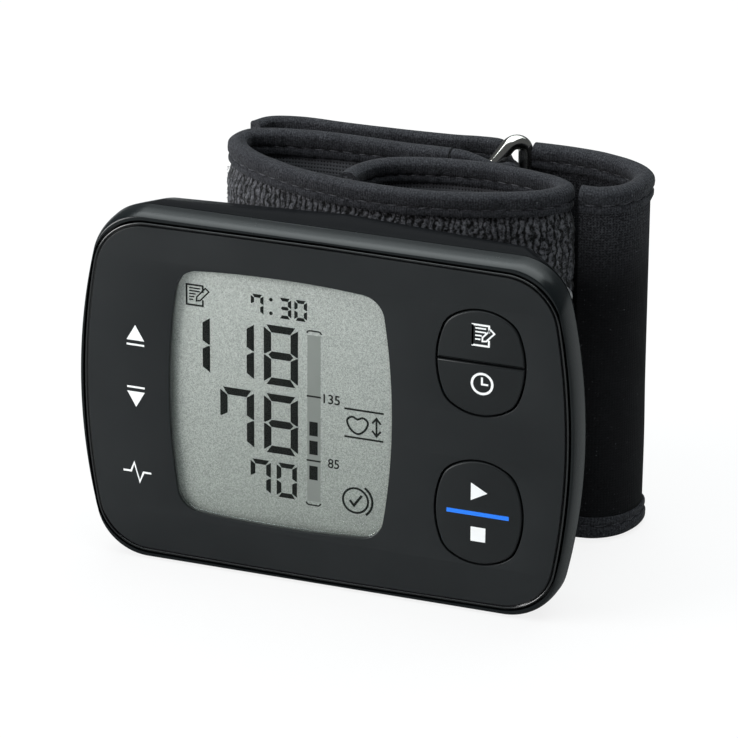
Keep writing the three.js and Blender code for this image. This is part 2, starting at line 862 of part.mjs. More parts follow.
function frontCurve(across) {
  return cuffPoint([across, frontCurveShare * across * across]);
}

const ringHeight = cuffHeight + ringOverhang;
const ringX = cuffX + cuffHalfWidth * ringXShare;
const ringDepth = cuffFront + cuffDepth * ringDepthShare;
const ringAlong = [Math.cos(ringTurn), Math.sin(ringTurn)];
const leftLegX = ringX - ringSpan / 2 * ringAlong[0];
const leftLegDepth = ringDepth - ringSpan / 2 * ringAlong[1];
const rightLegX = ringX + ringSpan / 2 * ringAlong[0];
const rightLegDepth = ringDepth + ringSpan / 2 * ringAlong[1];
const foldRadius = ringWire / 2 + ringPlay + strapThickness / 2;
const keeperRadius = ringWire / 2 + seat + keeperThickness / 2;

// Stations along a centre line, closer where it bends. The normal points out of the coil.
function stations(points) {
  const curve = new THREE.CatmullRomCurve3(
    points.map((point) => new THREE.Vector3(point.x, point.y, 0)), false, 'centripetal',
  );
  const fine = curve.getSpacedPoints(points.length * lineSteps);
  const length = curve.getLength();
  const step = length / (fine.length - 1);
  const direction = (i) => {
    const before = fine[Math.max(0, i - 1)];
    const after = fine[Math.min(fine.length - 1, i + 1)];
    return new THREE.Vector2(after.x - before.x, after.y - before.y).normalize();
  };
  const made = [];
  let heading = null;
  let travelled = 0;
  for (let i = 0; i < fine.length; i++) {
    const now = direction(i);
    const turned = heading ? Math.abs(heading.angleTo(now)) : Infinity;
    travelled += step;
    if (turned > bendAngle || travelled > longestStep || i === fine.length - 1) {
      const share = i / (fine.length - 1);
      made.push({ x: fine[i].x, y: fine[i].y, nx: -now.y, ny: now.x, along: i * step, share });
      heading = now;
      travelled = 0;
    }
  }
  const tail = made[made.length - 2];
  if (made[made.length - 1].along - tail.along < step * 2) {
    made.splice(made.length - 2, 1);
  }
  return made;
}

// A band along stations: section(station) is a closed loop of [distance outwards, height].
function band(line, section) {
  const positions = [];
  const triangles = [];
  const loops = line.map(section);
  const count = loops[0].length;
  line.forEach((station, i) => {
    for (const [out, height] of loops[i]) {
      positions.push(station.x + station.nx * out, station.y + station.ny * out, height);
    }
  });
  for (let s = 0; s + 1 < line.length; s++) {
    for (let i = 0; i < count; i++) {
      const next = (i + 1) % count;
      const a = s * count + i;
      const b = s * count + next;
      triangles.push([a, b, a + count], [b, b + count, a + count]);
    }
  }
  const last = (line.length - 1) * count;
  const ends = [[0, loops[0], true], [last, loops[loops.length - 1], false]];
  for (const [start, loop, flip] of ends) {
    const outline = loop.map(([out, height]) => new THREE.Vector2(out, height));
    const clockwise = THREE.ShapeUtils.isClockWise(outline);
    for (const [i, j, k] of THREE.ShapeUtils.triangulateShape(outline, [])) {
      const facing = flip !== clockwise;
      triangles.push(facing ? [start + i, start + k, start + j] : [start + i, start + j, start + k]);
    }
  }
  return closedGeometry(positions, triangles);
}

const mainLine = stations([
  ...curledEndShares.map(cuffPoint),
  ...frontReachShares.map(frontCurve),
  ...leftLoopShares.map(cuffPoint),
]);

function arcPoints(x, depth, radius, from, to, count) {
  const points = [];
  for (let i = 0; i <= count; i++) {
    const angle = from + (to - from) * i / count;
    points.push(new THREE.Vector2(x + radius * Math.cos(angle), depth + radius * Math.sin(angle)));
  }
  return points;
}

const mainEnd = mainLine[mainLine.length - 1];
const strapLine = stations([
  new THREE.Vector2(mainEnd.x + seamGap, mainEnd.y),
  ...arcPoints(leftLegX, leftLegDepth, foldRadius, -Math.PI / 2, ringTurn, ringSteps),
  ...tailShares.map(cuffPoint),
]);
const ringBandLine = stations(ringBandShares.map(cuffPoint));

// The keeper is a tape that goes round the ring's right leg and lies on both faces of the band
const bandEnd = ringBandLine[ringBandLine.length - 1];
const keeperOut = ringBandThickness / 2 + seat + keeperThickness / 2;
const keeperLine = stations([
  new THREE.Vector2(bandEnd.x + keeperLength, bandEnd.y + keeperOut),
  new THREE.Vector2(bandEnd.x, bandEnd.y + keeperOut),
  ...arcPoints(
    rightLegX, rightLegDepth, keeperRadius, keeperMouth, 2 * Math.PI - keeperMouth, ringSteps,
  ),
  new THREE.Vector2(bandEnd.x, bandEnd.y - keeperOut),
  new THREE.Vector2(bandEnd.x + keeperLength, bandEnd.y - keeperOut),
]);

// Cuff layers, from the wrist outwards: lining, bladder, curler leaf, cover
const layerThicknesses = [liningThickness, bladderThickness, curlerThickness, coverThickness];
const middleThickness = layerThicknesses.reduce((sum, next) => sum + layerGap + next);
const liningIn = -middleThickness / 2;
const bladderIn = liningIn + liningThickness + layerGap;
const curlerIn = bladderIn + bladderThickness + layerGap;
const coverIn = curlerIn + curlerThickness + layerGap;
const coverOut = middleThickness / 2;
const bindingInner = edgeThickness / 2 + layerGap;
const bindingOuter = bindingInner + bindingWall;

// A fabric sheet that is full thickness in the middle and pinched under the binding at both edges.
function pinchedSection(innerEdge, outerEdge, innerMiddle, outerMiddle, bottom, top) {
  const edge = bindingWall + layerGap;
  const heights = [
    [bottom + edge, 0], [bottom + bindingWidth + layerGap, 0], [bottom + bindingWidth + pinchWidth, 1],
    [top - bindingWidth - pinchWidth, 1], [top - bindingWidth - layerGap, 0], [top - edge, 0],
  ];
  const inner = heights.map(([z, full]) => [innerEdge + (innerMiddle - innerEdge) * full, z]);
  const outer = heights.map(([z, full]) => [outerEdge + (outerMiddle - outerEdge) * full, z]);
  return [...inner, ...outer.reverse()];
}

function bindingSection(outside, inside, edge, upwards) {
  const deep = edge - upwards * bindingWidth;
  const round = edge - upwards * bindingRound;
  const bed = edge - upwards * bindingWall;
  return [
    [-outside, deep], [-outside, round],
    [-outside + bindingRound, edge], [outside - bindingRound, edge],
    [outside, round], [outside, deep],
    [inside, deep], [inside, bed], [-inside, bed], [-inside, deep],
  ];
}

const layerSplit = layerGap / 2;

function fromShare(line, start, end) {
  return line.filter((station) => station.share >= start && station.share <= end);
}

const stemX = cuffX;
const stemZ = middle + bodyHeight * stemZShare;

function stemHole(grow) {
  const end = cuffFront + bladderIn + middleThickness;
  return depthRod(stemRadius + grow, stemX, stemZ, bodyDepth - wall * 2, end);
}

// A flat band of even thickness between two heights
function sheet(line, inner, outer, bottom, top) {
  return band(line, () => [[inner, bottom], [outer, bottom], [outer, top], [inner, top]]);
}

function placeCuff() {
  const hole = stemHole(seat);
  const cover = band(mainLine, () => pinchedSection(
    layerSplit, edgeThickness / 2, coverIn, coverOut, cuffBottom, cuffTop,
  ));
  place('cuff_cover', solid(cover).subtract(hole), pileBlack);
  place('cuff_lining', band(mainLine, () => pinchedSection(
    -edgeThickness / 2, -layerSplit, liningIn, liningIn + liningThickness, cuffBottom, cuffTop,
  )), liningBlack);
  const leafEdge = curlerMargin + bindingWidth;
  const leaf = sheet(
    fromShare(mainLine, curlerStartShare, curlerEndShare),
    curlerIn, curlerIn + curlerThickness, cuffBottom + leafEdge, cuffTop - leafEdge,
  );
  place('curler_leaf', solid(leaf).subtract(hole), leafWhite);
  const bladderEdge = bladderMargin + bindingWidth;
  place('air_bladder', sheet(
    fromShare(mainLine, bladderStartShare, bladderEndShare),
    bladderIn, bladderIn + bladderThickness, cuffBottom + bladderEdge, cuffTop - bladderEdge,
  ), bladderGrey);
  for (const [name, edge, upwards] of [['top', cuffTop, 1], ['bottom', cuffBottom, -1]]) {
    const tape = band(mainLine, () => bindingSection(bindingOuter, bindingInner, edge, upwards));
    place(`cuff_binding_${name}`, tape, tapeGrey);
  }
}

// The strap's lower edge clears the ring's end, and its upper edge dips only inside the ring
const foldBottom = cuffBottom + ringLift + ringWire + foldBottomGap;
const foldTop = cuffBottom + ringLift + ringHeight - ringWire - foldTopGap;

function fromRing(x, depth) {
  const along = (x - ringX) * ringAlong[0] + (depth - ringDepth) * ringAlong[1];
  const held = Math.max(-ringSpan / 2, Math.min(ringSpan / 2, along));
  return Math.hypot(x - ringX - held * ringAlong[0], depth - ringDepth - held * ringAlong[1]);
}

function strapTop(station) {
  const reach = fromRing(station.x, station.y) - ringWire / 2 - seat;
  const share = Math.min(1, Math.max(0, reach / foldTaper));
  return foldTop + (cuffTop - foldTop) * share * share * (3 - 2 * share);
}

function placeStrap() {
  const half = strapThickness / 2;
  const tape = half + layerGap;
  const edge = bindingWall + layerGap;
  const thin = strapBindingWall;
  const body = band(strapLine, (station) => {
    const low = foldBottom + edge;
    const high = strapTop(station) - edge;
    return [[-half, low], [half, low], [half, high], [-half, high]];
  });
  place('fastening_strap', body, meshGrey);
  place('strap_binding_top', band(
    strapLine, (station) => bindingSection(tape + thin, tape, strapTop(station), 1),
  ), tapeGrey);
  place('strap_binding_bottom', band(
    strapLine, () => bindingSection(tape + thin, tape, foldBottom, -1),
  ), tapeGrey);
  const face = half + layerGap;
  place('hook_patch', sheet(
    fromShare(strapLine, patchStartShare, patchEndShare),
    face, face + patchThickness, foldBottom + patchMargin, cuffTop - patchMargin,
  ), chipBlack);
}

function placeRingBand() {
  const half = ringBandThickness / 2;
  const edge = bindingWall + layerGap;
  const tape = half + layerGap;
  const outer = tape + strapBindingWall;
  place('ring_band', sheet(ringBandLine, -half, half, cuffBottom + edge, cuffTop - edge), meshGrey);
  for (const [name, height, upwards] of [['top', cuffTop, 1], ['bottom', cuffBottom, -1]]) {
    const binding = band(ringBandLine, () => bindingSection(outer, tape, height, upwards));
    place(`ring_band_binding_${name}`, binding, tapeGrey);
  }
  place('ring_keeper', sheet(
    keeperLine, -keeperThickness / 2, keeperThickness / 2,
    cuffBottom + keeperMargin, cuffTop - keeperMargin,
  ), tapeGrey);
}

// The ring: round wire bent to a long loop
function dRing() {
  const radius = ringSpan / 2;
  const low = cuffBottom + ringLift + ringWire / 2 + radius;
  const high = cuffBottom + ringLift + ringHeight - ringWire / 2 - radius;
  const path = [];
  for (let i = 0; i <= ringSteps; i++) {
    const angle = Math.PI * i / ringSteps;
    path.push([radius * Math.cos(angle), high + radius * Math.sin(angle), angle]);
  }
  for (let i = 0; i <= ringSteps; i++) {
    const angle = Math.PI + Math.PI * i / ringSteps;
    path.push([radius * Math.cos(angle), low + radius * Math.sin(angle), angle]);
  }
  const positions = [];
  const triangles = [];
  for (const [x, z, facing] of path) {
    for (let k = 0; k < smallSteps; k++) {
      const angle = 2 * Math.PI * k / smallSteps;
      const out = ringWire / 2 * Math.cos(angle);
      const across = x + out * Math.cos(facing);
      const aside = ringWire / 2 * Math.sin(angle);
      positions.push(
        ringX + across * ringAlong[0] - aside * ringAlong[1],
        ringDepth + across * ringAlong[1] + aside * ringAlong[0],
        z + out * Math.sin(facing),
      );
    }
  }
  for (let s = 0; s < path.length; s++) {
    for (let k = 0; k < smallSteps; k++) {
      const a = s * smallSteps + k;
      const b = s * smallSteps + (k + 1) % smallSteps;
      const c = ((s + 1) % path.length) * smallSteps + k;
      const d = ((s + 1) % path.length) * smallSteps + (k + 1) % smallSteps;
      triangles.push([a, b, c], [b, d, c]);
    }
  }
  return closedGeometry(positions, triangles);
}

// Plinth and mount plate follow the front curve of the cuff
function curvedSlab(lowX, highX, front, outFront, outBack, bottom, top) {
  const row = (out) => {
    const points = [];
    for (let i = 0; i <= slabSteps; i++) {
      const x = lowX + (highX - lowX) * i / slabSteps;
      const across = (x - cuffX) / cuffHalfWidth;
      points.push([x, frontCurve(across).y - out]);
    }
    return points;
  };
  const back = row(outBack);
  const fore = outFront === null ? [[highX, front], [lowX, front]] : row(outFront).reverse();
  const shape = new THREE.Shape([...back, ...fore].map(([x, y]) => new THREE.Vector2(x, y)));
  const geometry = new THREE.ExtrudeGeometry(shape, { depth: top - bottom, bevelEnabled: false });
  geometry.translate(0, 0, bottom);
  return solid(geometry);
}

const plateBack = coverOut + seat;
const plateFront = plateBack + plateThickness;
const plinthBack = plateFront + seat;

function plinth(shrink) {
  const shape = (grow) => movedOutline(roundedOutline(
    plinthHalfWidth - shrink + grow, plinthHalfHeight - shrink + grow, plinthCorner - shrink,
  ), cuffX, middle);
  const far = cuffFront + plinthDraft;
  const draft = plinthDraft * (far - bodyDepth) / (cuffFront - bodyDepth);
  const tapered = loft([
    { outline: shape(0), depth: bodyDepth - wall },
    { outline: shape(-draft), depth: far },
  ]);
  const curved = curvedSlab(
    cuffX - plinthHalfWidth, cuffX + plinthHalfWidth, bodyDepth - wall * 2,
    null, plinthBack + shrink, middle - plinthHalfHeight, middle + plinthHalfHeight,
  );
  return tapered.intersect(curved);
}

const plateScrews = [1, -1].map((side) => middle + side * plateHalfHeight * plateScrewShare);

function mountPlate() {
  const curved = curvedSlab(
    cuffX - plateHalfWidth, cuffX + plateHalfWidth, null, plateFront, plateBack,
    middle - plateHalfHeight, middle + plateHalfHeight,
  );
  const rounded = plate(
    movedOutline(roundedOutline(plateHalfWidth, plateHalfHeight, plateCorner), cuffX, middle),
    bodyDepth, cuffFront + cuffDepth,
  );
  const face = frontCurve(0).y - plateBack;
  return cut(curved.intersect(rounded), [
    stemHole(seat),
    ...plateScrews.map((z) => depthRod(screwRadius + seat, cuffX, z, bodyDepth, cuffFront)),
    ...plateScrews.map((z) => depthRod(screwHeadRadius + seat, cuffX, z, face - screwHeadHeight, cuffFront)),
  ]);
}

// Rear case: tapered shell, plinth, opening for the cells, screw bosses and counterbores
function rearCase() {
  const outer = loft(rearRings(0, partingDepth, bodyDepth, backRound));
  const inner = loft(rearRings(wall, partingDepth - overrun, bodyDepth - wall, backRound));
  const shell = cut(outer.add(plinth(0)), [inner, plinth(wall)]);
  const bosses = screwPlaces.map(
    ([x, z]) => depthRod(screwHeadRadius + wall, x, z, shoulder - wall, bodyDepth - backRound),
  );
  const inside = loft(rearRings(wall / 2, partingDepth, bodyDepth - wall / 2, backRound));
  const outside = bodyDepth + overrun;
  const opening = block(
    openingLeft, openingRight, bodyDepth - wall * 2, outside,
    middle - openingHalfZ, middle + openingHalfZ,
  );
  const plinthFace = frontCurve(0).y - plinthBack;
  const pilots = [plinthFace - wall * 2, plinthFace + overrun];
  return cut(joined([shell, joined(bosses).intersect(inside)]), [
    opening,
    ...screwPlaces.map(([x, z]) => depthRod(screwRadius + seat, x, z, 0, outside)),
    ...screwPlaces.map(([x, z]) => depthRod(screwHeadRadius + seat, x, z, shoulder, outside)),
    ...plateScrews.map((z) => depthRod(screwRadius, cuffX, z, ...pilots)),
    stemHole(seat),
  ]);
}

// A screw along depth: its head is at the back
function screw(x, z, headTop, length) {
  const body = turned([
    [0, -length], [screwRadius, -length],
    [screwRadius, -screwHeadHeight], [screwHeadRadius, -screwHeadHeight],
    [screwHeadRadius, -screwHeadHeight * screwRimShare], [screwHeadRadius * screwCrownShare, 0],
    [0, 0],
  ], x, headTop, z, smallSteps);
  const long = screwHeadRadius * screwSlotShare;
  const thin = screwSlot / 2;
  const slots = [[long, thin], [thin, long]].map(([wide, high]) => block(
    x - wide, x + wide, headTop - screwSlot, headTop + overrun, z - high, z + high,
  ));
  return cut(body, slots);
}

const boardBack = boardDepth + boardThickness;
const partsFront = boardBack + seat;

// Main board: it follows the case on the right and stops at the battery tray
function mainBoard() {
  const inset = wall + lipWall + boardMargin;
  const outline = caseOutline(inset, inset, bodyCorner - wall * 2);
  const area = block(trayRight + seat, halfWidth, boardDepth, boardBack, 0, bodyHeight);
  const notches = screwPlaces.map(
    ([x, z]) => depthRod(screwBossRadius + seat, x, z, 0, bodyDepth, roundSteps),
  );
  return cut(plate(outline, boardDepth, boardBack).intersect(area), notches);
}

function placeBoard() {
  place('main_board', mainBoard(), boardGreen);
  const chipX = bodyWidth * chipXShare;
  const chipZ = middle + bodyHeight * chipZShare;
  const chipOutline = (half) => movedOutline(roundedOutline(half, half, seat), chipX, chipZ);
  place('processor_chip', loft([
    { outline: chipOutline(chipSize / 2), depth: partsFront },
    { outline: chipOutline(chipSize / 2 - seat), depth: partsFront + chipThickness },
  ]), chipBlack);
  const sensorZ = middle + bodyHeight * sensorZShare;
  const half = sensorSize / 2;
  const canBack = partsFront + sensorThickness;
  const portBack = canBack + sensorPortLength;
  const can = block(
    sensorX - half, sensorX + half, partsFront, canBack, sensorZ - half, sensorZ + half,
  );
  const port = depthRod(sensorPort, sensorX, sensorZ, partsFront, portBack);
  const bore = depthRod(sensorPortHole, sensorX, sensorZ, canBack, portBack + overrun, ringSteps);
  place('pressure_sensor', cut(can.add(port), [bore]), holderWhite);
}

// Pump, valve, manifold and stem
function placeAir() {
  const pumpBase = middle + bodyHeight * pumpZShare - pumpMotorLength / 2;
  const pumpDepth = partsFront + pumpRadius + seat;
  const motorTop = pumpBase + pumpMotorLength;
  const neck = heightRod(
    pumpRadius * pumpNeckShare, pumpX, pumpDepth, pumpBase - pumpStep * 2, pumpBase + pumpStep,
    smallSteps,
  );
  const motor = heightRod(pumpRadius, pumpX, pumpDepth, pumpBase, motorTop).add(neck);
  place('pump_motor', motor, steel);
  const headBase = motorTop + seat;
  const headTop = headBase + pumpHeadLength;
  const collarTop = headBase + pumpHeadLength * pumpCollarShare;
  const head = joined([
    heightRod(pumpRadius, pumpX, pumpDepth, headBase, collarTop),
    heightRod(pumpRadius - pumpStep, pumpX, pumpDepth, headBase, headTop),
    heightRod(portRadius, pumpX, pumpDepth, headTop - seat, headTop + portLength, smallSteps),
  ]);
  place('pump_head', head, chipBlack);
  const valveZ = middle + bodyHeight * valveZShare;
  const valveDepth = partsFront + valveRadius + seat;
  const canTop = valveZ + valveLength / 2;
  const valve = joined([
    heightRod(valveRadius, valveX, valveDepth, valveZ - valveLength / 2, canTop),
    heightRod(portRadius, valveX, valveDepth, valveZ, canTop + portLength, smallSteps),
  ]);
  place('release_valve', valve, brass);
  const joinZ = headTop + portLength + seat;
  const valveTop = canTop + portLength + seat;
  const path = new THREE.CatmullRomCurve3([
    new THREE.Vector3(pumpX, pumpDepth, joinZ),
    new THREE.Vector3(pumpX - manifoldRadius, pumpDepth, joinZ + manifoldShoulder),
    new THREE.Vector3((pumpX + valveX) / 2, pumpDepth, joinZ + manifoldRise),
    new THREE.Vector3(valveX + manifoldRadius, valveDepth, joinZ),
    new THREE.Vector3(valveX, valveDepth, (joinZ + valveTop) / 2),
    new THREE.Vector3(valveX, valveDepth, valveTop),
  ]);
  place('air_manifold', new THREE.ExtrudeGeometry(roundSection(manifoldRadius, ringSteps), {
    steps: smallSteps, extrudePath: path, bevelEnabled: false,
  }), softTube);
  const face = cuffFront - bladderIn - bladderThickness;
  const front = pumpDepth + manifoldRadius + seat;
  const stem = turned([
    [stemBore, front], [stemRadius, front], [stemRadius, face - seat], [stemBore, face - seat],
    [stemBore, front],
  ], stemX, 0, stemZ, smallSteps);
  place('bladder_stem', stem, softTube);
}

place('front_panel', frontPanel(), panelBlack);
place('front_case', frontCase(), bezelBlack);
place('rear_case', rearCase(), rearBlack);
placeDisplay();
placeKeys();
place('battery_tray', batteryTray(), holderWhite);
placeCells();
place('battery_cover', batteryCover(), rearBlack);
placeBoard();
placeAir();
place('mount_plate', mountPlate(), rearBlack);
screwPlaces.forEach(([x, z], i) => {
  place(`case_screw_${i + 1}`, screw(x, z, counterbore, screwLength), steel);
});
plateScrews.forEach((z, i) => {
  const head = frontCurve(0).y - plateBack;
  place(`plate_screw_${i + 1}`, screw(cuffX, z, head, screwLength / 2), steel);
});
placeCuff();
placeStrap();
placeRingBand();
place('d_ring', dRing(), chrome);

pieces.position.y = -restDepth;

export default pieces;
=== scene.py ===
# %% [markdown]
# # A wrist blood pressure monitor
# The monitor is a slim black case with a display window and three keys. It is held on
# the wrist by a fabric cuff that is coiled behind it, with bound edges, a metal ring
# and a strap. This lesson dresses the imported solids: hard pieces are rebuilt with
# finer curves in the same places, and the cloth is swept along the coil's own line.

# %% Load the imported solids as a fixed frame
import math

import bpy
import bmesh
import numpy as np
from mathutils import Matrix, Vector


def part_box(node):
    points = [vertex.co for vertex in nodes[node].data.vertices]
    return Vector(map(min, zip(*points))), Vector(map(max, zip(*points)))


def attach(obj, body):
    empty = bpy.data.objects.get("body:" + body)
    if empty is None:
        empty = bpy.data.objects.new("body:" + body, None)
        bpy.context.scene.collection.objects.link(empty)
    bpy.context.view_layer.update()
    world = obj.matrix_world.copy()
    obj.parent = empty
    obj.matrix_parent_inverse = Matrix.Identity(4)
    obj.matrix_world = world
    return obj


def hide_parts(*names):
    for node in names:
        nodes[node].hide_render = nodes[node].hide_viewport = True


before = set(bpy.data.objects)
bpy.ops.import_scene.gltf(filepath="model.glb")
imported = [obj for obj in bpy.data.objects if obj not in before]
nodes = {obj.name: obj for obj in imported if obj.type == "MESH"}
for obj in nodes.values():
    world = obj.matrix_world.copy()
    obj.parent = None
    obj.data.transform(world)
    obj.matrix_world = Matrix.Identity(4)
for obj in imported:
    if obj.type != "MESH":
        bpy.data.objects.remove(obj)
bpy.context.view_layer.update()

print("solids in the frame:", len(nodes))

# %% [markdown]
# Sizes are written in millimetres, because that is how such a case is drawn. Depth is
# counted backwards from the face and height upwards from the table. One function turns
# these into the frame's metres, so that no other line has to. Another puts what was made
# into the scene.

# %% Millimetres to metres
MM = 0.001
FACE_AHEAD = 8.0
CASE_WIDE, CASE_HIGH, CASE_DEEP = 88.8, 63.4, 13.4
MIDDLE = CASE_HIGH / 2


def metres(points):
    made = np.array(points, float)
    made[..., 1] -= FACE_AHEAD
    return made * MM


def linked(name, data):
    made = bpy.data.objects.new(name, data)
    bpy.context.scene.collection.objects.link(made)
    return made


print("case:", CASE_WIDE, "x", CASE_HIGH, "x", CASE_DEEP, "mm")

# %% [markdown]
# ## The camera
# A product photograph is taken from some way off with a long lens, so that the case
# hardly tapers. The camera stands to the right of the face and above it, and its
# distance and lens were worked out from the corners of the case.

# %% Camera
CAMERA_TURN = math.radians(20.17)
CAMERA_RISE = math.radians(23.0)
CAMERA_ROLL = math.radians(0.33)
CAMERA_AWAY = 841.57 * MM
CAMERA_LENS, SENSOR_WIDE = 247.7, 36.0
AIM_X, AIM_ABOVE_MIDDLE = 8.16, 9.84

camera = linked("camera", bpy.data.cameras.new("camera"))
bpy.context.scene.camera = camera
camera.data.lens, camera.data.sensor_width = CAMERA_LENS, SENSOR_WIDE
camera.data.clip_start, camera.data.clip_end = 0.05, 20.0
aim = Vector(metres([(AIM_X, 0, MIDDLE + AIM_ABOVE_MIDDLE)])[0])
away = Vector((
    math.sin(CAMERA_TURN) * math.cos(CAMERA_RISE),
    -math.cos(CAMERA_TURN) * math.cos(CAMERA_RISE),
    math.sin(CAMERA_RISE),
))
level = Vector((math.cos(CAMERA_TURN), math.sin(CAMERA_TURN), 0.0))
upright = away.cross(level)
across = math.cos(CAMERA_ROLL) * level + math.sin(CAMERA_ROLL) * upright
up = math.cos(CAMERA_ROLL) * upright - math.sin(CAMERA_ROLL) * level
turn = Matrix((across, up, away)).transposed().to_4x4()
camera.matrix_world = Matrix.Translation(aim + away * CAMERA_AWAY) @ turn
print("camera at", [round(v, 3) for v in camera.matrix_world.translation])

# %% [markdown]
# ## Tools for making surfaces
# Every piece below starts as rows of points. One function turns points and faces into
# a mesh piece, checks which way the faces look by the volume they close, and lays the
# cloth coordinates (millimetres along and across) in a UV map for the weaves.

# %% Points to a piece
def facing_out(points, faces):
    corners = np.array([face[:3] for face in faces])
    a, b, c = (points[corners[:, i]] for i in range(3))
    volume = np.einsum("ij,ij->", a, np.cross(b, c))
    if len(faces[0]) == 4:
        quads = np.array([face for face in faces if len(face) == 4])
        a, b, c = points[quads[:, 0]], points[quads[:, 2]], points[quads[:, 3]]
        volume += np.einsum("ij,ij->", a, np.cross(b, c))
    return volume > 0


def smooth(made, creased=None):
    """Smooth shading, with a hard edge wherever two faces meet at more than this angle."""
    made.data.shade_smooth()
    if creased is not None:
        made.data.set_sharp_from_angle(angle=math.radians(creased))


def piece_from(name, points, faces, cloth=None, creased=None):
    points = metres(points)
    if not facing_out(points, faces):
        faces = [tuple(reversed(face)) for face in faces]
    mesh = bpy.data.meshes.new(name)
    mesh.from_pydata(points.tolist(), [], faces)
    if cloth is not None:
        corner = np.empty(len(mesh.loops), np.int32)
        mesh.loops.foreach_get("vertex_index", corner)
        layer = mesh.uv_layers.new(name="cloth")
        layer.data.foreach_set("uv", np.asarray(cloth, float)[corner].ravel())
    made = linked(name, mesh)
    smooth(made, creased)
    return made


def tube_faces(rows, columns, closed=False):
    """Each row is a ring of points. The tube ends in two caps, or closes on itself."""
    faces = []
    for r in range(rows if closed else rows - 1):
        below, above = r * columns, (r + 1) % rows * columns
        for c in range(columns):
            n = (c + 1) % columns
            faces.append((below + c, below + n, above + n, above + c))
    if not closed:
        last = (rows - 1) * columns
        faces += [tuple(range(columns)), tuple(range(last + columns - 1, last - 1, -1))]
    return faces


# %% [markdown]
# The case is made of outlines with bowed sides and round corners, stacked in depth like
# the slices of a loaf. For a smooth skin between two different outlines, each is read
# at the same list of directions, closely spaced at the corners where it turns.

# %% Outlines
def bowed(half_x, half_z, corner, bow_x, bow_z, side=16, bend=26):
    corner_x, corner_z = half_x - corner - bow_x, half_z - corner - bow_z
    side_turn = 2 * math.atan(bow_x / corner_z)
    top_turn = 2 * math.atan(bow_z / corner_x)
    quarter = []
    if bow_x > 0:
        radius = (corner_z ** 2 + bow_x ** 2) / (2 * bow_x)
        for i in range(side):
            a = side_turn * i / side
            quarter.append((corner_x + bow_x - radius + (radius + corner) * math.cos(a),
                            (radius + corner) * math.sin(a)))
    for i in range(bend + 1):
        a = side_turn + (math.pi / 2 - top_turn - side_turn) * i / bend
        quarter.append((corner_x + corner * math.cos(a), corner_z + corner * math.sin(a)))
    if bow_z > 0:
        radius = (corner_x ** 2 + bow_z ** 2) / (2 * bow_z)
        for i in range(1, side + 1):
            a = math.pi / 2 - top_turn + top_turn * i / side
            quarter.append(((radius + corner) * math.cos(a),
                            corner_z + bow_z - radius + (radius + corner) * math.sin(a)))
    ring = (quarter + [(-x, z) for x, z in reversed(quarter)]
            + [(-x, -z) for x, z in quarter] + [(x, -z) for x, z in reversed(quarter)])
    kept = [p for i, p in enumerate(ring) if math.dist(p, ring[i - 1]) > 1e-4]
    return np.array(kept)


def moved(outline, x, z):
    return outline + np.array([x, z])


def spread(size, grow, x, z):
    """The outline of a size, grown evenly all round and moved to its middle."""
    half_x, half_z, corner, *bows = size
    return moved(bowed(half_x + grow, half_z + grow, corner + grow, *bows), x, z)


CASE_CORNER, CASE_BOW = 9.4, 2.5
# Half width, half height, corner, bow of the sides, bow of the top and bottom
PANEL = (43.15, 30.4, 9.7, 1.8, 0.28)
WINDOW = (19.9, 22.6, 4.2, 1.4, 0.6)
KEY = (7.925, 9.6, 4.6, 0.8, 0.8)
WINDOW_X, WINDOW_Z = -7.8, 32.45
KEY_X, UPPER_KEY_Z, LOWER_KEY_Z = 27.705, 45.5, 18.5


def case_outline(shrink_x, shrink_z, corner=CASE_CORNER):
    half_x, half_z = CASE_WIDE / 2 - shrink_x, CASE_HIGH / 2 - shrink_z
    return moved(bowed(half_x, half_z, corner, CASE_BOW, 0), 0, MIDDLE)


def panel_outline(grow):
    return spread(PANEL, grow, 0, MIDDLE)


def window_outline(grow):
    return spread(WINDOW, grow, WINDOW_X, WINDOW_Z)


def key_outline(grow, z):
    return spread(KEY, grow, KEY_X, z)


DIRECTIONS = np.unique(np.round(np.arctan2(*(case_outline(0, 0) - [0, MIDDLE]).T[::-1]), 6))
DIRECTIONS = np.sort(np.concatenate([DIRECTIONS, (DIRECTIONS + np.roll(DIRECTIONS, -1)) / 2])[:-1])
DIRECTIONS = np.unique(np.round(DIRECTIONS, 5))


def read_at(outline):
    about = outline - [0, MIDDLE]
    turn = np.arctan2(about[:, 1], about[:, 0])
    order = np.argsort(turn)
    turn, about = turn[order], about[order]
    turn = np.concatenate([turn - 2 * np.pi, turn, turn + 2 * np.pi])
    about = np.concatenate([about, about, about])
    return np.stack([np.interp(DIRECTIONS, turn, about[:, i]) for i in range(2)], 1) + [0, MIDDLE]


def loft(name, rings, closed=False, creased=38):
    """Rings are (outline, depth) pairs whose outlines have equally many points."""
    count = len(rings[0][0])
    points = np.concatenate([np.stack([outline[:, 0], np.full(count, depth), outline[:, 1]], 1)
                             for outline, depth in rings])
    return piece_from(name, points, tube_faces(len(rings), count, closed), creased=creased)


print("directions round the case:", len(DIRECTIONS))

# %% [markdown]
# A flat plate with holes and a broken edge is quickest as a filled 2D curve: Blender
# cuts the holes and rolls the bevel by itself. The curve is then turned into a mesh,
# stood upright and welded.

# %% Plates from filled curves
def baked(made, name):
    graph = bpy.context.evaluated_depsgraph_get()
    mesh = bpy.data.meshes.new_from_object(made.evaluated_get(graph))
    mesh.name = name
    bpy.data.objects.remove(made)
    return linked(name, mesh)


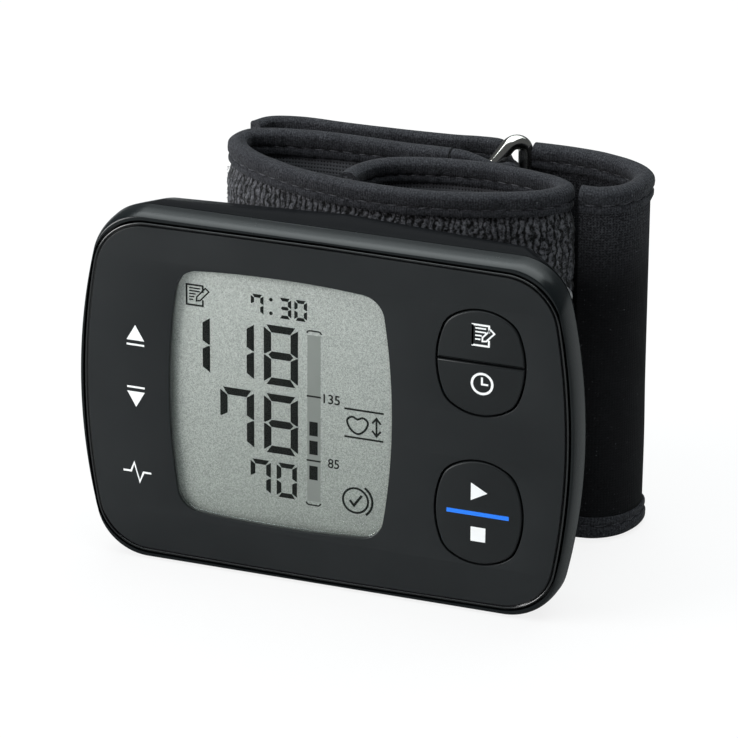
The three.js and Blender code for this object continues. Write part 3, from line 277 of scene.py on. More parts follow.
def plate(name, outlines, front, back, edge, rolls=3):
    curve = bpy.data.curves.new(name, "CURVE")
    curve.dimensions, curve.fill_mode = "2D", "BOTH"
    curve.extrude = ((back - front) / 2 - edge) * MM
    curve.bevel_depth, curve.bevel_resolution, curve.offset = edge * MM, rolls, -edge * MM
    for i, outline in enumerate(outlines):
        drawn = outline if i == 0 else outline[::-1]
        spline = curve.splines.new("POLY")
        spline.points.add(len(drawn) - 1)
        spline.use_cyclic_u = True
        spline.points.foreach_set(
            "co", np.column_stack([drawn * MM, np.zeros(len(drawn)), np.ones(len(drawn))]).ravel())
    made = baked(linked(name, curve), name)
    middle_depth = ((front + back) / 2 - FACE_AHEAD) * MM
    made.data.transform(Matrix(((1, 0, 0, 0), (0, 0, -1, middle_depth), (0, 1, 0, 0), (0, 0, 0, 1))))
    weld(made)
    smooth(made, 38)
    return made


WELD_WITHIN, FLAT_WITHIN = 0.002 * MM, math.radians(0.5)


def weld(made, flat=False):
    work = bmesh.new()
    work.from_mesh(made.data)
    bmesh.ops.remove_doubles(work, verts=work.verts, dist=WELD_WITHIN)
    if flat:
        bmesh.ops.dissolve_limit(work, angle_limit=FLAT_WITHIN, verts=work.verts, edges=work.edges)
    bmesh.ops.recalc_face_normals(work, faces=work.faces)
    work.to_mesh(made.data)
    work.free()


def join(name, *parts):
    """One piece out of several that share no volume."""
    work = bmesh.new()
    for part in parts:
        work.from_mesh(part.data)
    mesh = bpy.data.meshes.new(name)
    work.to_mesh(mesh)
    work.free()
    for part in parts:
        bpy.data.objects.remove(part)
    return linked(name, mesh)


def carve(made, other, how="DIFFERENCE"):
    change = made.modifiers.new("carve", "BOOLEAN")
    change.object, change.operation, change.solver = other, how, "EXACT"
    settled = baked(made, made.name)
    bpy.data.objects.remove(other)
    return settled


def block(name, low, high):
    (x0, y0, z0), (x1, y1, z1) = low, high
    points = [(x, y, z) for x in (x0, x1) for y in (y0, y1) for z in (z0, z1)]
    faces = [(0, 1, 3, 2), (4, 6, 7, 5), (0, 4, 5, 1), (2, 3, 7, 6), (0, 2, 6, 4), (1, 5, 7, 3)]
    return piece_from(name, np.array(points, float), faces, creased=30)


def softened(node, name, edge):
    """The solid again with every hard edge rolled, as a mould leaves it."""
    made = linked(name, nodes[node].data.copy())
    weld(made, flat=True)
    roll = made.modifiers.new("roll", "BEVEL")
    roll.width, roll.segments, roll.limit_method = edge * MM, 2, "ANGLE"
    roll.angle_limit, roll.use_clamp_overlap = math.radians(32), True
    made = baked(made, name)
    smooth(made, 34)
    return made


# %% [markdown]
# ## Shared effects
# Grain, scuffs, weaves and lint are wanted on several finishes, so each is a node
# group with named inputs and outputs. A group gives out a height or a mask that changes
# over the surface. The shader that uses it stays in the material.

# %% Small helpers for node trees
class Nodes:
    """A few short calls that add nodes to one tree and join them up."""

    def __init__(self, tree):
        self.tree = tree

    def add(self, kind, **settings):
        made = self.tree.nodes.new(kind)
        for key, value in settings.items():
            setattr(made, key, value)
        return made

    def put(self, socket, value):
        if isinstance(value, bpy.types.NodeSocket):
            self.tree.links.new(value, socket)
        else:
            socket.default_value = value

    def math(self, operation, first, second=0.0, third=0.0):
        made = self.add("ShaderNodeMath", operation=operation)
        for socket, value in zip(made.inputs, (first, second, third)):
            self.put(socket, value)
        return made.outputs[0]

    def noise(self, place, scale, detail=3.0, rough=0.55, stretch=None):
        if stretch is not None:
            squeeze = self.add("ShaderNodeMapping")
            self.put(squeeze.inputs["Vector"], place)
            squeeze.inputs["Scale"].default_value = stretch
            place = squeeze.outputs[0]
        made = self.add("ShaderNodeTexNoise")
        self.put(made.inputs["Vector"], place)
        self.put(made.inputs["Scale"], scale)
        made.inputs["Detail"].default_value = detail
        made.inputs["Roughness"].default_value = rough
        return made.outputs["Fac"]

    def reach(self, value, low, high, to_low=0.0, to_high=1.0):
        made = self.add("ShaderNodeMapRange")
        for key, number in zip(("Value", "From Min", "From Max", "To Min", "To Max"),
                               (value, low, high, to_low, to_high)):
            self.put(made.inputs[key], number)
        return made.outputs[0]

    def blend(self, share, first, second):
        made = self.add("ShaderNodeMix", data_type="RGBA")
        self.put(made.inputs["Factor"], share)
        for socket, colour in zip(made.inputs[6:8], (first, second)):
            self.put(socket, (*colour, 1) if isinstance(colour, tuple) else colour)
        return made.outputs[2]

    def bump(self, height, strength, distance):
        made = self.add("ShaderNodeBump")
        made.inputs["Strength"].default_value = strength
        made.inputs["Distance"].default_value = distance
        self.put(made.inputs["Height"], height)
        return made.outputs[0]

    def split(self, vector):
        made = self.add("ShaderNodeSeparateXYZ")
        self.put(made.inputs[0], vector)
        return made.outputs

    def shade(self, **inputs):
        """Joins values to the shader's sockets. An underscore stands for a space."""
        shader = self.tree.nodes["Principled BSDF"]
        for key, value in inputs.items():
            self.put(shader.inputs[key.replace("_", " ")], value)

    def effect(self, group, **inputs):
        made = self.add("ShaderNodeGroup", node_tree=group)
        for key, value in inputs.items():
            self.put(made.inputs[key.replace("_", " ")], value)
        return made

    def place(self):
        return self.add("ShaderNodeTexCoord").outputs["Object"]

    def cloth(self):
        return self.add("ShaderNodeUVMap", uv_map="cloth").outputs[0]


def effect_group(name, inputs, outputs):
    tree = bpy.data.node_groups.new(name, "ShaderNodeTree")
    for title, start in inputs.items():
        socket = tree.interface.new_socket(title, in_out="INPUT", socket_type="NodeSocketFloat")
        socket.default_value = start
    for title in outputs:
        tree.interface.new_socket(title, in_out="OUTPUT", socket_type="NodeSocketFloat")
    made = Nodes(tree)
    source, result = made.add("NodeGroupInput"), made.add("NodeGroupOutput")
    return made, source.outputs, result.inputs


# %% [markdown]
# **Moulded grain.** A mould for black plastic is etched, which leaves a grain of about
# a fifth of a millimetre. Two sizes of noise added together look less regular than one.

# %% Effect: moulded grain
tools, given, wanted = effect_group(
    "moulded_grain", {"Grains per metre": 5000.0}, ["Height", "Cloud"])
here = tools.place()
fine = tools.noise(here, given["Grains per metre"], 2.0)
coarse = tools.noise(here, tools.math("MULTIPLY", given["Grains per metre"], 0.28), 2.0)
tools.put(wanted["Height"], tools.math("MULTIPLY_ADD", coarse, 0.4, fine))
tools.put(wanted["Cloud"], tools.noise(here, 45.0, 3.0))
MOULDED_GRAIN = tools.tree

# %% [markdown]
# **Handling marks.** Polished plastic picks up short hairline scratches and finger
# marks. Noise that is stretched a lot in one direction and cut high gives the hairlines.

# %% Effect: handling marks
tools, given, wanted = effect_group("handling_marks", {"Amount": 0.5}, ["Hairlines", "Smears"])
here = tools.place()
first = tools.noise(here, 900.0, 2.0, stretch=(1.0, 1.0, 0.05))
second = tools.noise(here, 800.0, 2.0, stretch=(0.06, 1.0, 0.9))
lines = tools.math("ADD", tools.reach(first, 0.70, 0.78), tools.reach(second, 0.71, 0.79))
tools.put(wanted["Hairlines"], tools.math("MULTIPLY", lines, given["Amount"]))
tools.put(wanted["Smears"], tools.math(
    "MULTIPLY", tools.reach(tools.noise(here, 70.0, 4.0, 0.6), 0.5, 0.8), given["Amount"]))
HANDLING_MARKS = tools.tree

# %% [markdown]
# **Weaves.** Two weaves are used. The binding tape has fine ribs across it, and the lining
# and the bands are a knitted mesh with diamond holes. Both are drawn from the cloth
# coordinates, so the threads follow the band round its bends.

# %% Effect: ribbed tape
PICK = 0.33
tools, given, wanted = effect_group("ribbed_tape", {"Rib": 0.42}, ["Height", "Valley"])
along, rise, _ = tools.split(tools.cloth())
sway = tools.noise(tools.place(), 900.0, 2.0)
phase = tools.math("DIVIDE", along, given["Rib"])
phase = tools.math("MULTIPLY_ADD", phase, 2 * math.pi, tools.math("MULTIPLY", sway, 5.0))
rib = tools.reach(tools.math("SINE", phase), -1.0, 1.0)
pick = tools.reach(tools.math("SINE", tools.math("MULTIPLY", rise, 2 * math.pi / PICK)), -1.0, 1.0)
both = tools.math("MULTIPLY_ADD", tools.math("MULTIPLY", rib, pick), 0.5,
                  tools.math("MULTIPLY", rib, 0.6))
tools.put(wanted["Height"], tools.math("ADD", both, tools.math("MULTIPLY", sway, 0.5)))
tools.put(wanted["Valley"], tools.math("SUBTRACT", 1.0, rib))
RIBBED_TAPE = tools.tree

# %% Effect: knitted mesh
tools, given, wanted = effect_group("knitted_mesh", {"Cell": 0.8, "Hole": 0.35}, ["Height", "Hole"])
along, rise, _ = tools.split(tools.cloth())
sway = tools.math("MULTIPLY", tools.noise(tools.place(), 500.0, 2.0), 1.6)
slants = []
for side in (1.0, -1.0):
    slant = tools.math("MULTIPLY_ADD", rise, side, along)
    turns = tools.math("MULTIPLY", tools.math("DIVIDE", slant, given["Cell"]), 2 * math.pi)
    slants.append(tools.math("SINE", tools.math("ADD", turns, sway)))
open_share = tools.math("MULTIPLY", *slants)
tools.put(wanted["Height"], tools.math("SUBTRACT", 1.0, tools.reach(open_share, -0.2, 0.9)))
tools.put(wanted["Hole"], tools.reach(open_share, given["Hole"], 0.95))
KNITTED_MESH = tools.tree

# %% [markdown]
# **Lint.** Dark cloth always shows a few pale specks and a slightly uneven dye. Both
# are noise, one cut very high and one left soft.

# %% Effect: lint
tools, given, wanted = effect_group("lint", {"Amount": 0.5}, ["Specks", "Dye"])
here = tools.place()
specks = tools.reach(tools.noise(here, 2600.0, 1.0), 0.70, 0.80)
tools.put(wanted["Specks"], tools.math("MULTIPLY", specks, given["Amount"]))
tools.put(wanted["Dye"], tools.noise(here, 160.0, 4.0, 0.6))
LINT = tools.tree
print("effects:", [tree.name for tree in bpy.data.node_groups])

# %% [markdown]
# ## Finishes
# Each finish is one material. A number that is the same all over the surface is set on
# the shader itself, and the groups only vary colour, roughness and the bump.

# %% A material to start from
def finish(name, colour, rough, metallic=0.0, specular=0.5, sheen=0.0, sheen_rough=0.5):
    """A new material and the tools to add to it."""
    made = bpy.data.materials.new(name)
    made.use_nodes = True
    made.diffuse_color = (*colour, 1)
    tools = Nodes(made.node_tree)
    tools.shade(Base_Color=(*colour, 1), Roughness=rough, Metallic=metallic,
                Specular_IOR_Level=specular, Sheen_Weight=sheen, Sheen_Roughness=sheen_rough)
    return made, tools


GRAIN_DEPTH = 0.03 * MM


def plastic(name, colour, rough, grain, depth, specular, marks):
    """Moulded plastic: an even colour, a fine grain and a little handling wear."""
    made, tools = finish(name, colour, rough, specular=specular)
    etched = tools.effect(MOULDED_GRAIN, Grains_per_metre=grain)
    worn = tools.effect(HANDLING_MARKS, Amount=marks)
    pale = tuple(min(1.0, c * 1.35 + 0.006) for c in colour)
    cloud = tools.reach(etched.outputs["Cloud"], 0.3, 0.75, 0.0, 0.5)
    lifted = tools.math("MULTIPLY_ADD", worn.outputs["Smears"], 0.14, rough)
    tools.shade(Base_Color=tools.blend(cloud, colour, pale),
                Roughness=tools.math("MULTIPLY_ADD", worn.outputs["Hairlines"], 0.2, lifted),
                Normal=tools.bump(etched.outputs["Height"], depth, GRAIN_DEPTH))
    return made


LINT_GREY = (0.25, 0.25, 0.27)


def cloth_tint(tools, colour, pale, amount):
    """Uneven dye and pale specks of lint over a dark cloth. Returns the colour socket."""
    dust = tools.effect(LINT, Amount=amount)
    dyed = tools.blend(tools.reach(dust.outputs["Dye"], 0.3, 0.7), colour, pale)
    return tools.blend(dust.outputs["Specks"], dyed, LINT_GREY)


# %% Plastics of the case
# Name, colour, roughness, grains per metre, depth of the grain, specular level, handling marks
PANEL_BLACK = plastic("panel_black", (0.0135, 0.0152, 0.0162), 0.34, 7000.0, 0.10, 0.24, 0.35)
BEZEL_BLACK = plastic("bezel_black", (0.003, 0.0048, 0.0055), 0.24, 5000.0, 0.04, 0.40, 0.30)
BEAD_BLACK = plastic("bead_black", (0.003, 0.0035, 0.004), 0.12, 5000.0, 0.02, 1.0, 0.20)
REAR_BLACK = plastic("rear_black", (0.004, 0.0046, 0.0054), 0.17, 4200.0, 0.06, 0.14, 0.25)
KEY_BLACK = plastic("key_black", (0.0115, 0.013, 0.0138), 0.34, 7000.0, 0.12, 0.24, 0.5)
HOLDER_WHITE = plastic("holder_white", (0.62, 0.62, 0.58), 0.5, 3500.0, 0.25, 0.5, 0.3)
CHIP_BLACK = plastic("chip_black", (0.012, 0.012, 0.014), 0.55, 6000.0, 0.35, 0.4, 0.1)
LEAF_WHITE = plastic("leaf_white", (0.58, 0.58, 0.54), 0.45, 2500.0, 0.2, 0.5, 0.3)
STRIP_RUBBER = plastic("strip_rubber", (0.09, 0.09, 0.10), 0.75, 4000.0, 0.3, 0.3, 0.1)
TUBE_GREY = plastic("tube_grey", (0.5, 0.5, 0.47), 0.5, 3000.0, 0.15, 0.5, 0.3)
BLADDER_FILM = plastic("bladder_film", (0.23, 0.24, 0.25), 0.4, 1500.0, 0.3, 0.5, 0.4)
print("plastics ready")

# %% [markdown]
# **Metals.** The ring is polished and plated, so its look is all reflection, with only
# faint hairlines. The screws, springs and contacts are plated steel with a soft brush.

# %% Metals
def metal(name, colour, rough, brush):
    made, tools = finish(name, colour, rough, metallic=1.0)
    streak = tools.noise(tools.place(), 600.0, 3.0, stretch=(1.0, 1.0, 0.12))
    worn = tools.effect(HANDLING_MARKS, Amount=brush)
    dull = tuple(c * 0.82 for c in colour)
    lifted = tools.math("MULTIPLY_ADD", worn.outputs["Hairlines"], 0.3, rough)
    tools.shade(Base_Color=tools.blend(tools.reach(streak, 0.35, 0.7), colour, dull),
                Roughness=tools.math("MULTIPLY_ADD", streak, brush * 0.12, lifted),
                Normal=tools.bump(streak, brush * 0.3, 0.02 * MM))
    return made


RING_CHROME = metal("ring_chrome", (0.80, 0.78, 0.73), 0.09, 0.15)
PLATED_STEEL = metal("plated_steel", (0.55, 0.55, 0.56), 0.28, 0.5)
SPRING_STEEL = metal("spring_steel", (0.62, 0.61, 0.6), 0.2, 0.3)
VALVE_BRASS = metal("valve_brass", (0.62, 0.44, 0.18), 0.25, 0.4)
print("metals ready")

# %% [markdown]
# ** The display.** A reflective liquid crystal display is a grey-green sheet with a fine
# silvery speckle. The speckle is noise at two sizes. Light is painted over it: the sheet is
# painted lighter towards the top, and a painted shadow of the window's recess darkens it
# towards the edge. That shadow follows the distance from a point a little right of and below
# the window's middle, so the left and top edges are darkest.

# %% Display finishes
DISPLAY_GREY, tools = finish("display_grey", (0.33, 0.355, 0.325), 0.4, specular=0.3)
here = tools.place()
speckle = tools.math("MULTIPLY_ADD", tools.noise(here, 4300.0, 2.0, 0.7), 0.5,
                     tools.math("MULTIPLY", tools.noise(here, 8600.0, 1.0), 0.5))
seen_x, _, seen_z = tools.split(here)
# Painted light: the display's colour is painted lighter towards the top, as if the lamp overhead lit
# it more there.
lift = tools.reach(seen_z, (WINDOW_Z - 22) * MM, (WINDOW_Z + 22) * MM)
darker = tools.blend(lift, (0.17, 0.19, 0.173), (0.268, 0.286, 0.268))
paler = tools.blend(lift, (0.405, 0.436, 0.4), (0.625, 0.656, 0.62))
silver = tools.blend(tools.reach(speckle, 0.40, 0.60), darker, paler)
# Painted shadow: the window's recess is painted as a dark border on the display, darkest at the left
# and top edges.
EDGE_SHADE = 1.9
recess_shadow_nearness = []
for seen, middle, starts in ((seen_x, WINDOW_X + 0.35, 18.6), (seen_z, WINDOW_Z - 0.35, 21.3)):
    off = tools.math("ABSOLUTE", tools.math("SUBTRACT", seen, middle * MM))
    recess_shadow_nearness.append(tools.reach(off, starts * MM, (starts + EDGE_SHADE) * MM))
edge = tools.math("POWER", tools.math("MAXIMUM", *recess_shadow_nearness), 1.8)
tools.shade(Base_Color=tools.blend(edge, silver, (0.07, 0.08, 0.074)),
            Normal=tools.bump(speckle, 0.08, 0.02 * MM))

DISPLAY_GLASS = plastic("display_glass", (0.30, 0.33, 0.30), 0.1, 2000.0, 0.02, 0.5, 0.2)
SEGMENT_BLACK = plastic("segment_black", (0.005, 0.0065, 0.0052), 0.7, 9000.0, 0.02, 0.06, 0.05)
SEGMENT_GHOST = plastic("segment_ghost", (0.235, 0.252, 0.235), 0.7, 9000.0, 0.10, 0.06, 0.05)

# %% [markdown]
# **The lens.** The window is a clear acrylic plate. It lets the light through to the
# display and only shows itself where it reflects, more so at a slant, which is what the
# Fresnel node measures. Its share is cut to a third, as an anti-glare coat does. Thin
# clear plates come out cleaner this way than with glass.

# %% Lens finish
CLEAR_LENS, tools = finish("clear_lens", (0.9, 0.93, 0.92), 0.05, metallic=1.0)
gloss = tools.add("ShaderNodeFresnel")
gloss.inputs["IOR"].default_value = 1.45
worn = tools.effect(HANDLING_MARKS, Amount=0.12)
scratched = tools.math("MULTIPLY", worn.outputs["Hairlines"], 0.05)
tools.shade(Alpha=tools.math("MULTIPLY_ADD", gloss.outputs[0], 0.3, scratched),
            Roughness=tools.math("MULTIPLY_ADD", worn.outputs["Smears"], 0.1, 0.05))
print("display finishes ready")

# %% [markdown]
# **Cloths.** All of them are black-grey polyester, but they scatter light differently.
# The loop pile is deep and dull, the tape is smoother with ribs, and the mesh shows
# its holes. Sheen stands for the fine fibres that catch the light at a slant.

# %% Cloth finishes
# Painted shade: the holes of the knitted mesh are painted near black, standing for the shade seen
# through them.
PAINTED_HOLE_SHADE = (0.003, 0.003, 0.004)
PILE_RIB = 1.15
PILE_FABRIC, tools = finish("pile_fabric", (0.02, 0.02, 0.022), 0.95, specular=0.12, sheen=0.12)
here = tools.place()
sway = tools.math("MULTIPLY", tools.noise(here, 420.0, 3.0, 0.6), 14.0)
turns = tools.math("MULTIPLY_ADD", tools.split(tools.cloth())[0], 2 * math.pi / PILE_RIB, sway)
ribs = tools.reach(tools.math("SINE", turns), -1.0, 0.4)
tufts = tools.reach(tools.noise(here, 1500.0, 3.0, 0.7), 0.36, 0.66)
strands = tools.reach(tools.noise(here, 2600.0, 2.0, stretch=(1.0, 1.0, 0.35)), 0.34, 0.66)
mixed = tools.math("MULTIPLY", tools.math("MULTIPLY_ADD", ribs, 0.7, 0.3), tools.math(
    "MULTIPLY_ADD", tufts, 0.7, tools.math("MULTIPLY", strands, 0.3)))
tinted = cloth_tint(tools, (0.105, 0.106, 0.118), (0.17, 0.172, 0.19), 0.9)
# Painted shade: where ribs, tufts and strands are low, the pile is painted near black, as shade falls
# between the loops.
tools.shade(Base_Color=tools.blend(tools.reach(mixed, 0.14, 0.66), (0.001, 0.001, 0.0013), tinted),
            Normal=tools.bump(mixed, 1.0, 0.5 * MM))

FUZZ_FIBRE, tools = finish("fuzz_fibre", (0.05, 0.05, 0.053), 0.9, specular=0.1, sheen=0.1)
tools.shade(Base_Color=cloth_tint(tools, (0.012, 0.012, 0.014), (0.05, 0.05, 0.055), 0.9))

TAPE_FABRIC, tools = finish("tape_fabric", (0.03, 0.03, 0.034), 0.9,
                            specular=0.12, sheen=0.06, sheen_rough=0.4)
ribs = tools.effect(RIBBED_TAPE, Rib=0.42)
fibres = tools.reach(tools.noise(tools.place(), 3300.0, 2.0, 0.7), 0.36, 0.64)
tinted = cloth_tint(tools, (0.046, 0.047, 0.0535), (0.062, 0.063, 0.071), 0.5)
worn = tools.blend(fibres, (0.011, 0.0115, 0.0135), tinted)
# Painted shade: the valleys between the tape's ribs are painted darker.
painted_valley_shade = tools.math("MULTIPLY", ribs.outputs["Valley"], 0.35)
tools.shade(Base_Color=tools.blend(painted_valley_shade, worn, (0.008, 0.008, 0.0105)),
            Normal=tools.bump(tools.math("ADD", ribs.outputs["Height"], fibres), 0.6, 0.1 * MM))

LINING_FABRIC, tools = finish("lining_fabric", (0.03, 0.03, 0.033), 0.9, specular=0.2, sheen=0.15)
knit = tools.effect(KNITTED_MESH, Cell=1.15, Hole=0.2)
tinted = cloth_tint(tools, (0.062, 0.063, 0.070), (0.085, 0.086, 0.095), 0.3)
tools.shade(Base_Color=tools.blend(knit.outputs["Hole"], tinted, PAINTED_HOLE_SHADE),
            Normal=tools.bump(knit.outputs["Height"], 0.8, 0.12 * MM))

BAND_MESH, tools = finish("band_mesh", (0.02, 0.02, 0.022), 0.9, specular=0.08, sheen=0.02)
knit = tools.effect(KNITTED_MESH, Cell=0.95, Hole=0.3)
# Painted light: from 47 to 62 mm up, the band's colour is painted lighter with pale thread noise, as
# if the lamp overhead lit its top.
painted_top_light_share = tools.reach(tools.split(tools.cloth())[1], 47.0, 62.0)
tinted = cloth_tint(tools, (0.0055, 0.0055, 0.0062), (0.0085, 0.0085, 0.0095), 0.2)
threads = tools.reach(tools.noise(tools.place(), 3000.0, 2.0, 0.7), 0.38, 0.62)
painted_top_light_colour = tools.blend(threads, (0.010, 0.010, 0.012), (0.062, 0.063, 0.070))
tinted = tools.blend(painted_top_light_share, tinted, painted_top_light_colour)
tools.shade(Base_Color=tools.blend(knit.outputs["Hole"], tinted, PAINTED_HOLE_SHADE),
            Normal=tools.bump(knit.outputs["Height"], 0.7, 0.1 * MM))

HOOK_FABRIC, tools = finish("hook_fabric", (0.01, 0.01, 0.012), 0.6, specular=0.3)
hooks = tools.noise(tools.place(), 1800.0, 1.0)
tools.shade(Base_Color=cloth_tint(tools, (0.008, 0.008, 0.009), (0.018, 0.018, 0.02), 0.3),
            Normal=tools.bump(hooks, 0.9, 0.3 * MM))

THREAD_GREY, tools = finish("thread_grey", (0.06, 0.06, 0.068), 0.7, specular=0.2)
twist = tools.noise(tools.place(), 5200.0, 2.0)
plies = tools.reach(twist, 0.35, 0.7)
tools.shade(Base_Color=tools.blend(plies, (0.045, 0.046, 0.052), (0.16, 0.163, 0.18)),
            Normal=tools.bump(twist, 0.5, 0.04 * MM))
print("cloths ready")

# %% Prints, board and cells
PRINT_WHITE = plastic("print_white", (0.82, 0.83, 0.83), 0.45, 9000.0, 0.05, 0.3, 0.1)
PRINT_BLUE = plastic("print_blue", (0.012, 0.18, 0.86), 0.42, 9000.0, 0.05, 0.3, 0.1)
BOARD_GREEN, tools = finish("board_green", (0.02, 0.11, 0.05), 0.4)
tracks = tools.add("ShaderNodeTexBrick")
for key, value in (("Vector", tools.place()), ("Scale", 260.0), ("Color1", (0.02, 0.11, 0.05, 1)),
                   ("Color2", (0.018, 0.09, 0.042, 1)), ("Mortar", (0.03, 0.15, 0.07, 1))):
    tools.put(tracks.inputs[key], value)
tools.shade(Base_Color=tracks.outputs["Color"],
            Normal=tools.bump(tracks.outputs["Fac"], 0.3, 0.05 * MM))

CELL_BLUE, tools = finish("cell_blue", (0.03, 0.08, 0.2), 0.3)
height = tools.split(tools.place())[2]
band_share = tools.reach(tools.math("SINE", tools.math("MULTIPLY", height, 140.0)), 0.55, 0.6)
worn = tools.effect(HANDLING_MARKS, Amount=0.5)
tools.shade(Base_Color=tools.blend(band_share, (0.025, 0.06, 0.16), (0.45, 0.46, 0.48)),
            Roughness=tools.math("MULTIPLY_ADD", worn.outputs["Smears"], 0.2, 0.28))
print("materials:", len(bpy.data.materials))

# %% [markdown]
# ## Dress the solids that stay
# Most of what is inside never shows, yet each solid gets the finish of its real piece,
# so that the model can be opened up or cut through and still look right.

# %% Finishes for the solids
for material, names in (
    (PANEL_BLACK, "front_panel"), (BEZEL_BLACK, "front_case"), (CLEAR_LENS, "display_lens"),
    (REAR_BLACK, "rear_case battery_cover mount_plate"),
    (KEY_BLACK, "memory_button clock_button start_stop_button"),
    (DISPLAY_GREY, "lcd_front_glass"), (DISPLAY_GLASS, "lcd_rear_glass"),
    (HOLDER_WHITE, "lcd_holder battery_tray pressure_sensor"),
    (STRIP_RUBBER, "lcd_connector_upper lcd_connector_lower"), (CELL_BLUE, "battery_1 battery_2"),
    (SPRING_STEEL, "battery_spring_1 battery_spring_2 battery_contact_1 battery_contact_2"),
    (SPRING_STEEL, "memory_switch clock_switch start_stop_switch"),
    (BOARD_GREEN, "main_board"), (CHIP_BLACK, "processor_chip pump_head"),
    (PLATED_STEEL, "pump_motor case_screw_1 case_screw_2 case_screw_3 case_screw_4"),
    (PLATED_STEEL, "plate_screw_1 plate_screw_2"), (VALVE_BRASS, "release_valve"),
    (TUBE_GREY, "air_manifold bladder_stem"), (BLADDER_FILM, "air_bladder"),
    (LEAF_WHITE, "curler_leaf"), (PILE_FABRIC, "cuff_cover"), (LINING_FABRIC, "cuff_lining"),
    (TAPE_FABRIC, "cuff_binding_top cuff_binding_bottom strap_binding_top strap_binding_bottom"),
    (TAPE_FABRIC, "ring_band_binding_top ring_band_binding_bottom ring_keeper"),
    (BAND_MESH, "fastening_strap ring_band"), (HOOK_FABRIC, "hook_patch"), (RING_CHROME, "d_ring"),
):
    for name in names.split():
        if not nodes[name].material_slots:
            nodes[name].data.materials.append(material)
        for held in nodes[name].material_slots:
            held.material = material
print("solids dressed:", sum(len(n.material_slots) > 0 for n in nodes.values()))


def wear(made, material, body="monitor", replaces=()):
    """Gives a new piece its finish, its body and the solids that it stands for."""
    made.data.materials.clear()
    made.data.materials.append(material)
    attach(made, body)
    if replaces:
        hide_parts(*replaces)
    return made


# %% [markdown]
# ## The bezel
# The front case shows as a glossy frame round the panel. On the real one it is moulded
# with a full round shoulder, which is what draws the long highlight along the top. The
# section is a quarter ellipse, a flat land, and a groove that the panel drops into.

# %% Bezel
RIM_IN_X, RIM_IN_Z, RIM_FRONT, WIDEST, PARTING = 0.5, 0.75, 0.15, 3.8, 5.3
GROOVE, GROOVE_ROLL, GROOVE_FLOOR, LEDGE_BACK = 0.42, 0.08, 1.55, 2.3
BEZEL_WALL, BEZEL_BACK, WALL_FRONT = 1.5, PARTING - 0.2, 2.55
rings = [(read_at(case_outline(0, 0)), BEZEL_BACK)]
for a in np.linspace(math.pi / 2, 0, 13):
    pull = 1 - math.sin(a)
    rings.append((read_at(case_outline(RIM_IN_X * pull, RIM_IN_Z * pull)),
                  RIM_FRONT + (WIDEST - RIM_FRONT) * (1 - math.cos(a))))
rim, land, ledge = rings[-1][0], read_at(panel_outline(GROOVE)), read_at(panel_outline(-1.6))
wall = read_at(case_outline(BEZEL_WALL, BEZEL_WALL, CASE_CORNER - BEZEL_WALL))
rings += [(rim + (land - rim) * share, RIM_FRONT) for share in (0.35, 0.7)]
rings += [(land, RIM_FRONT + GROOVE_ROLL * (1 - math.cos(a))) for a in np.linspace(0, math.pi / 2, 4)]
rings += [(land, GROOVE_FLOOR), (ledge, GROOVE_FLOOR), (ledge, LEDGE_BACK),
          (wall, WALL_FRONT), (wall, BEZEL_BACK)]
bezel = loft("bezel", rings, closed=True, creased=50)
wear(bezel, BEZEL_BLACK, replaces=["front_case"])
print("bezel:", len(bezel.data.polygons), "faces")

# %% [markdown]
# ## The face panel
# A thin satin plate with a window and two key openings, let into the bezel with a hair
# of shadow all round. Round it runs a small glossy bead with a groove on each side. Its
# round top is what catches the light as a thin bright line between two black ones.

# %% Face panel and its bead
BEAD, BEAD_GROOVE, BEAD_FROM = 0.36, 0.3, 0.02
PANEL_DEEP, BEAD_DEEP = 1.25, 0.6
panel = plate("face_panel", [
    panel_outline(-BEAD - BEAD_GROOVE), window_outline(0.12),
    key_outline(0, UPPER_KEY_Z), key_outline(0, LOWER_KEY_Z),
], 0.0, PANEL_DEEP, 0.09)
wear(panel, PANEL_BLACK, replaces=["front_panel"])
tucked = read_at(panel_outline(BEAD_FROM - BEAD - BEAD_GROOVE))
rings = [(read_at(panel_outline(BEAD_FROM)), PANEL_DEEP)]
for a in np.linspace(0, math.pi, 13):
    rings.append((read_at(panel_outline(BEAD_FROM - BEAD / 2 * (1 + math.cos(a)))),
                  BEAD_FROM + BEAD / 2 * (1 - math.sin(a))))
rings += [(read_at(panel_outline(-BEAD)), BEAD_DEEP), (tucked, BEAD_DEEP), (tucked, PANEL_DEEP)]
bead = loft("panel_bead", rings, closed=True, creased=50)
wear(bead, BEAD_BLACK)
print("panel:", len(panel.data.polygons), "faces, bead:", len(bead.data.polygons))

# %% [markdown]
# The lens sits in the window, a quarter of a millimetre below the face, and rests on
# the display's own frame.

# %% Window lens
lens = plate("window_lens", [window_outline(-0.02)], 0.23, 1.13, 0.03, rolls=1)
wear(lens, CLEAR_LENS, replaces=["display_lens"])

# %% [markdown]
# ## The display's figures
# The figures are seven-segment ones. Each segment is a bar with mitred ends, and a thin
# pale line parts it from its neighbours. They are cut as flat shapes a hair in front of
# the display, in the sizes read from the photograph. The numbers are a plain reading.

# %% Segments
DISPLAY_FACE = 1.37
LIT = {"0": "abcdef", "1": "bc", "3": "abgcd", "7": "fabc", "8": "abcdefg"}


